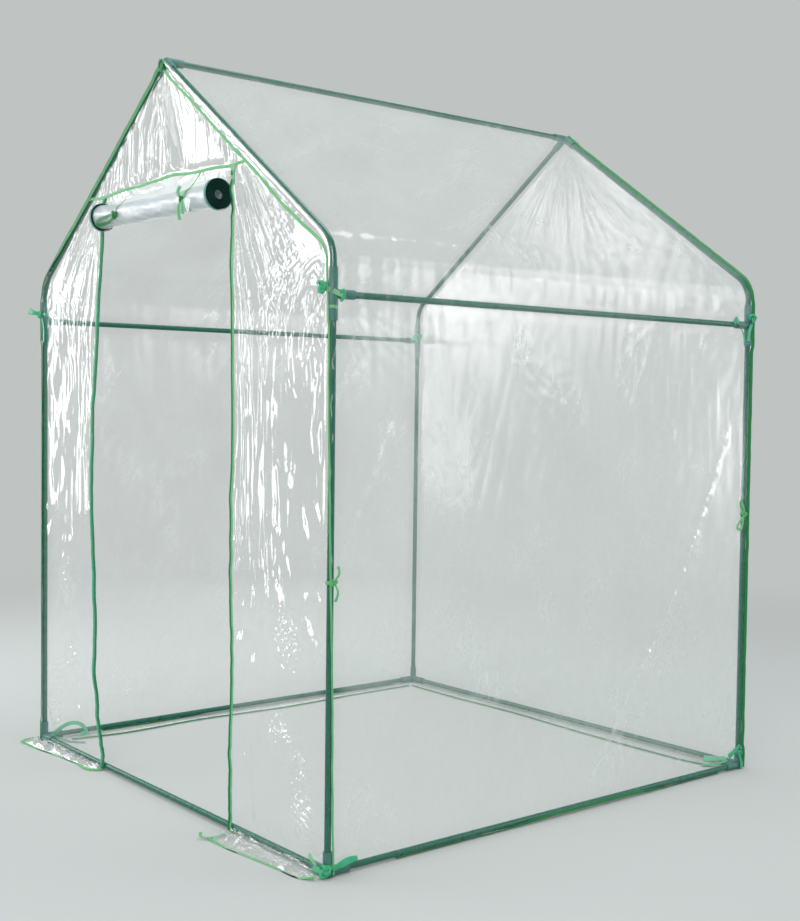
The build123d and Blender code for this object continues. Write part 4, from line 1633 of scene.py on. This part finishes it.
class GREENHOUSE_OT_door(bpy.types.Operator):
    """Adds the rolled-up door with the zip tape wound up at both of its ends"""

    bl_idname = "greenhouse.door"
    bl_label = "Add the rolled door"

    def execute(self, context):
        made = materials()
        axis_y = ROLL_AXIS[0]
        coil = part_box("left_zip_coil")
        coil_width = coil[1][0] - coil[0][0]
        # The film: from the seam down the back of the roll, then wound inwards, turn after turn
        turns, columns, rows = 9.0, 140, 250
        wound = np.linspace(0, 1, rows)[:, None]
        inset = coil_width * (1.05 - 0.75 * ease(wound, 0.80, 0.97))
        share = np.linspace(0, 1, columns)[None]
        x = ROLL_LEFT + inset + (ROLL_RIGHT - ROLL_LEFT - 2 * inset) * share
        angle = 2 * pi * turns * wound + 0.15 * noise(x / 0.3, wound * 3, 111)
        outer = roll_surface(x, angle)
        radius = outer - (outer - 0.0060) * wound**1.10
        radius = radius + 0.0035 * ease(wound, 0.86, 0.98) * noise(angle * 1.7, x / 0.02, 115)
        # Angle 0 is towards the doorway plane, and the film turns over the top and out to the front
        y = axis_y + radius * np.cos(angle)
        z = roll_height(x) + radius * np.sin(angle)
        points = np.stack([x, y, z], -1)
        drop = np.linspace(0, 1, 12)[:-1, None]
        seam = seam_point(x[0])
        hang = seam[None] * (1 - drop[..., None]) + points[:1] * drop[..., None]
        points = np.concatenate([hang, points])
        crease = np.concatenate([
            np.zeros((11, columns)), 0.9 * creases(x / 0.13 - angle * 0.40, angle * 0.30, 113, 4)
        ])
        piece = add_piece(
            "door_roll", [sheet_part(points, crease)], made["rolled"], ["rolled_door"],
            flip=True
        )
        # A corner of the film stands out beside the tie
        tie_x, tie_z = ROLL_PINCH + 0.010, roll_height(ROLL_PINCH)
        corner_rows = line_through([
            (tie_x, axis_y - 0.033, tie_z - 0.004), (tie_x + 0.022, axis_y - 0.038, tie_z - 0.002),
            (tie_x + 0.044, axis_y - 0.037, tie_z - 0.008)
        ], 40)
        peak = np.array([tie_x + 0.044, axis_y - 0.043, tie_z - 0.044])
        down = np.linspace(0, 0.92, 16)[:, None, None]
        fold = corner_rows[None] * (1 - down) + peak * down
        fold[..., 1] -= 0.003 * creases(fold[..., 0] / 0.012, fold[..., 2] / 0.03, 116, 2) * down[..., 0]
        corner_piece = add_piece(
            "roll_corner", [sheet_part(fold, 1.2 * np.ones(fold.shape[:2]))], made["rolled"]
        )

        def wound_tape(centre_x, step, turn, reach, width, thickness):
            """Tape wound flat round the roll's axis, its edges shifted sideways by step."""
            y, z = axis_y + reach * np.cos(turn), roll_height(centre_x) + reach * np.sin(turn)
            outward = np.stack([0 * turn, np.cos(turn), np.sin(turn)], 1)
            return swept(np.stack([centre_x + step, y, z], 1), outward, width, thickness, oval(8, 4))

        # The wound tape: one flat spiral at each end, with the edges of its turns at uneven depths and a
        # paler last turn, whose paler colour is a painted highlight round the rim
        ends = (("left", ROLL_LEFT + coil_width / 2), ("right", ROLL_RIGHT - coil_width / 2))
        for word, centre_x in ends:
            count, laps, hole = 12 * 44, 12.6, 0.0120
            share = np.linspace(0, 1, count)
            turn = 2 * pi * laps * share + 0.4
            reach = hole + (ROLL_RADIUS - hole) * share
            step = 0.0016 * np.sin(2 * pi * share * 3.1) + 0.0009 * noise(turn / 1.3, turn * 0.03, 121)
            width = coil_width - 0.0040 + 0.0008 * np.sin(turn * 3.1)
            thickness = 1.05 * (ROLL_RADIUS - hole) / laps
            strip = wound_tape(centre_x, step, turn, reach, width, thickness)
            add_piece(
                f"{word}_zip_winding", [strip], made["zip_dark"], [f"{word}_zip_coil"],
                merge=True
            )
            turn = np.linspace(0, 2 * pi, 64)
            # The rim's paler teal is a painted highlight
            rim = wound_tape(centre_x, 0 * turn, turn, ROLL_RADIUS + 0.0012, coil_width - 0.0010, 0.0012)
            add_piece(f"{word}_zip_rim", [rim], made["rim"], merge=True)
        return {"FINISHED"}


class GREENHOUSE_OT_stage(bpy.types.Operator):
    """Adds the floor, the backdrop, the lights and the camera"""

    bl_idname = "greenhouse.stage"
    bl_label = "Set the stage"

    def execute(self, context):
        _, stage = settings()
        scene = context.scene
        scene.view_settings.view_transform = "Standard"
        shade = (*stage.background, 1.0)

        # Floor: a lit pale ground near the object that turns into the backdrop's own colour further out
        material, tree, out = new_material("pale_studio_floor")
        place = node(tree, "ShaderNodeTexCoord")
        span = node(tree, "ShaderNodeVectorMath", {"operation": "LENGTH"}, i0=(place, "Object"))
        far = blend_value(tree, span, "Value", 1.7, 5.0, 0.0, 1.0)
        far.interpolation_type = "SMOOTHSTEP"
        grain = object_noise(tree, 0.004, 2.0)
        bump = node(tree, "ShaderNodeBump", Strength=0.15, Distance=0.0003, Height=(grain, 0))
        ground = node(tree, "ShaderNodeBsdfPrincipled", Base_Color=shade, Roughness=0.75, Normal=(bump, 0))
        glow = node(tree, "ShaderNodeEmission", Color=shade, Strength=1.0)
        direct = seen_directly(tree)
        far = maths(tree, "MULTIPLY", (far, 0), (direct, 0))
        skin = node(tree, "ShaderNodeMixShader", Fac=(far, 0), i1=(ground, 0), i2=(glow, 0))
        tree.links.new(skin.outputs[0], out.inputs[0])
        radius, turn = 40.0, np.arange(96) * 2 * pi / 96
        rings = np.array([0.0, 2.0, 6.0, radius])
        points = np.stack([
            np.outer(rings, np.cos(turn)), np.outer(rings, np.sin(turn)), np.zeros((4, 96)) - 0.0004
        ], -1)
        mesh = bpy.data.meshes.new("studio_floor")
        mesh.from_pydata(points.reshape(-1, 3).tolist(), [], grid_faces(4, 96, wrap_columns=True).tolist())
        body = bmesh.new()
        body.from_mesh(mesh)
        bmesh.ops.remove_doubles(body, verts=body.verts, dist=1e-5)
        bmesh.ops.recalc_face_normals(body, faces=body.faces)
        if sum(f.normal.z for f in body.faces) < 0:
            bmesh.ops.reverse_faces(body, faces=body.faces)
        body.to_mesh(mesh)
        body.free()
        mesh.materials.append(material)
        floor = bpy.data.objects.new("studio_floor", mesh)
        context.collection.objects.link(floor)

        # World: soft ambient light, while the eye, gloss and film see the backdrop's colour
        world = bpy.data.worlds.new("studio")
        world.use_nodes = True
        scene.world = world
        tree = world.node_tree
        tree.nodes.clear()
        direct = seen_directly(tree)
        ambient = node(tree, "ShaderNodeBackground", Color=(0.93, 0.97, 1.0, 1.0), Strength=0.55)
        backdrop = node(tree, "ShaderNodeBackground", Color=shade, Strength=1.0)
        both = node(tree, "ShaderNodeMixShader", Fac=(direct, 0), i1=(ambient, 0), i2=(backdrop, 0))
        out = tree.nodes.new("ShaderNodeOutputWorld")
        tree.links.new(both.outputs[0], out.inputs[0])

        # Softboxes: flat film mirrors them at the shoulder and over the doorway, elsewhere only folds do
        for name, place, target, size, power in (
            ("key_softbox", (-3.6, -2.98, 2.70), (0.15, -0.7, 1.75), (1.0, 0.95), 24),
            ("shoulder_softbox", (-3.45, -3.70, 2.32), (0.66, -0.7, 1.5), (0.66, 0.95), 14.5),
            ("low_softbox", (-2.6, -4.40, 0.80), (0.5, -0.7, 0.6), (0.60, 1.5), 18),
            ("left_softbox", (-3.5, -1.62, 1.25), (-0.5, -0.7, 0.9), (0.6, 1.6), 19),
            ("patch_softbox", (-3.41, -2.02, 1.71), (-0.65, -0.8, 1.4), (0.5, 0.42), 3.2),
            ("fill_softbox", (3.9, -4.6, 3.9), (0.2, 0.0, 1.0), (2.6, 2.6), 138),
            ("sky_softbox", (-2.6, -3.7, 3.9), (0.2, -0.4, 0.9), (2.2, 1.5), 22),
            ("top_softbox", (0.5, 0.6, 5.2), (0.0, 0.0, 1.0), (2.5, 2.5), 90),
            ("rim_softbox", (3.5, 3.5, 2.6), (0.7, 0.1, 1.1), (2.4, 1.8), 24),
            ("spark_softbox", (4.1, 6.5, 0.75), (0.8, 0.4, 0.6), (1.0, 0.9), 28),
            ("eave_softbox", (4.45, 3.40, 1.75), (0.79, 0.1, 1.2), (1.5, 0.8), 11),
            ("flap_softbox", (-3.6, 1.90, 1.25), (0.2, -0.8, 0.0), (1.6, 1.2), 14),
        ):
            lamp = bpy.data.lights.new(name, "AREA")
            lamp.shape, lamp.size, lamp.size_y, lamp.energy = "RECTANGLE", size[0], size[1], power
            light = bpy.data.objects.new(name, lamp)
            aim = unit(np.subtract(target, place))
            across = unit(np.cross(aim, (0, 0, 1)))
            turned = np.eye(4)
            turned[:3] = np.stack([across, np.cross(across, aim), -aim, place], 1)
            light.matrix_world = Matrix(turned.tolist())
            context.collection.objects.link(light)

        # Camera: fitted to the frame's corners in the photograph
        place = (3.16932, -2.47380, 1.07854)
        yaw, pitch, roll = radians(-50.930), radians(-2.4242), radians(0.7054)
        forward = np.array([sin(yaw) * cos(pitch), cos(yaw) * cos(pitch), sin(pitch)])
        across = np.array([cos(yaw), -sin(yaw), 0.0])
        upward = np.cross(across, forward)
        turned = np.eye(4)
        turned[:3, 0] = cos(roll) * across + sin(roll) * upward
        turned[:3, 1] = -sin(roll) * across + cos(roll) * upward
        turned[:3, 2] = -forward
        turned[:3, 3] = place
        view = bpy.data.cameras.new("camera")
        view.lens, view.sensor_width, view.sensor_fit = stage.lens, 36.0, "AUTO"
        view.clip_end = 200.0
        eye = bpy.data.objects.new("camera", view)
        eye.matrix_world = Matrix(turned.tolist())
        context.collection.objects.link(eye)
        scene.camera = eye
        return {"FINISHED"}


class GREENHOUSE_PT_panel(bpy.types.Panel):
    """The greenhouse's pieces, in the order they are made"""

    bl_idname = "GREENHOUSE_PT_panel"
    bl_label = "Film greenhouse"
    bl_space_type = "VIEW_3D"
    bl_region_type = "UI"
    bl_category = "Greenhouse"

    def draw(self, context):
        for group in settings():
            for name in group.__annotations__:
                self.layout.prop(group, name)
        for operator in OPERATORS:
            self.layout.operator(operator.bl_idname)


OPERATORS = (
    GREENHOUSE_OT_frame,
    GREENHOUSE_OT_cover,
    GREENHOUSE_OT_skirts,
    GREENHOUSE_OT_bindings,
    GREENHOUSE_OT_zips,
    GREENHOUSE_OT_ties,
    GREENHOUSE_OT_door,
    GREENHOUSE_OT_stage,
)
CLASSES = (GreenhouseFilm, GreenhouseStage, *OPERATORS, GREENHOUSE_PT_panel)


def register():
    """Registers the classes and their settings."""
    for each in CLASSES:
        bpy.utils.register_class(each)
    bpy.types.Scene.greenhouse_film = bpy.props.PointerProperty(type=GreenhouseFilm)
    bpy.types.Scene.greenhouse_stage = bpy.props.PointerProperty(type=GreenhouseStage)


def unregister():
    """Takes the classes and their settings away."""
    del bpy.types.Scene.greenhouse_stage
    del bpy.types.Scene.greenhouse_film
    for each in reversed(CLASSES):
        bpy.utils.unregister_class(each)


def main():
    """Makes every piece in order."""
    register()
    for operator in OPERATORS:
        family, name = operator.bl_idname.split(".")
        getattr(getattr(bpy.ops, family), name)()


if __name__ == "__main__":
    main()
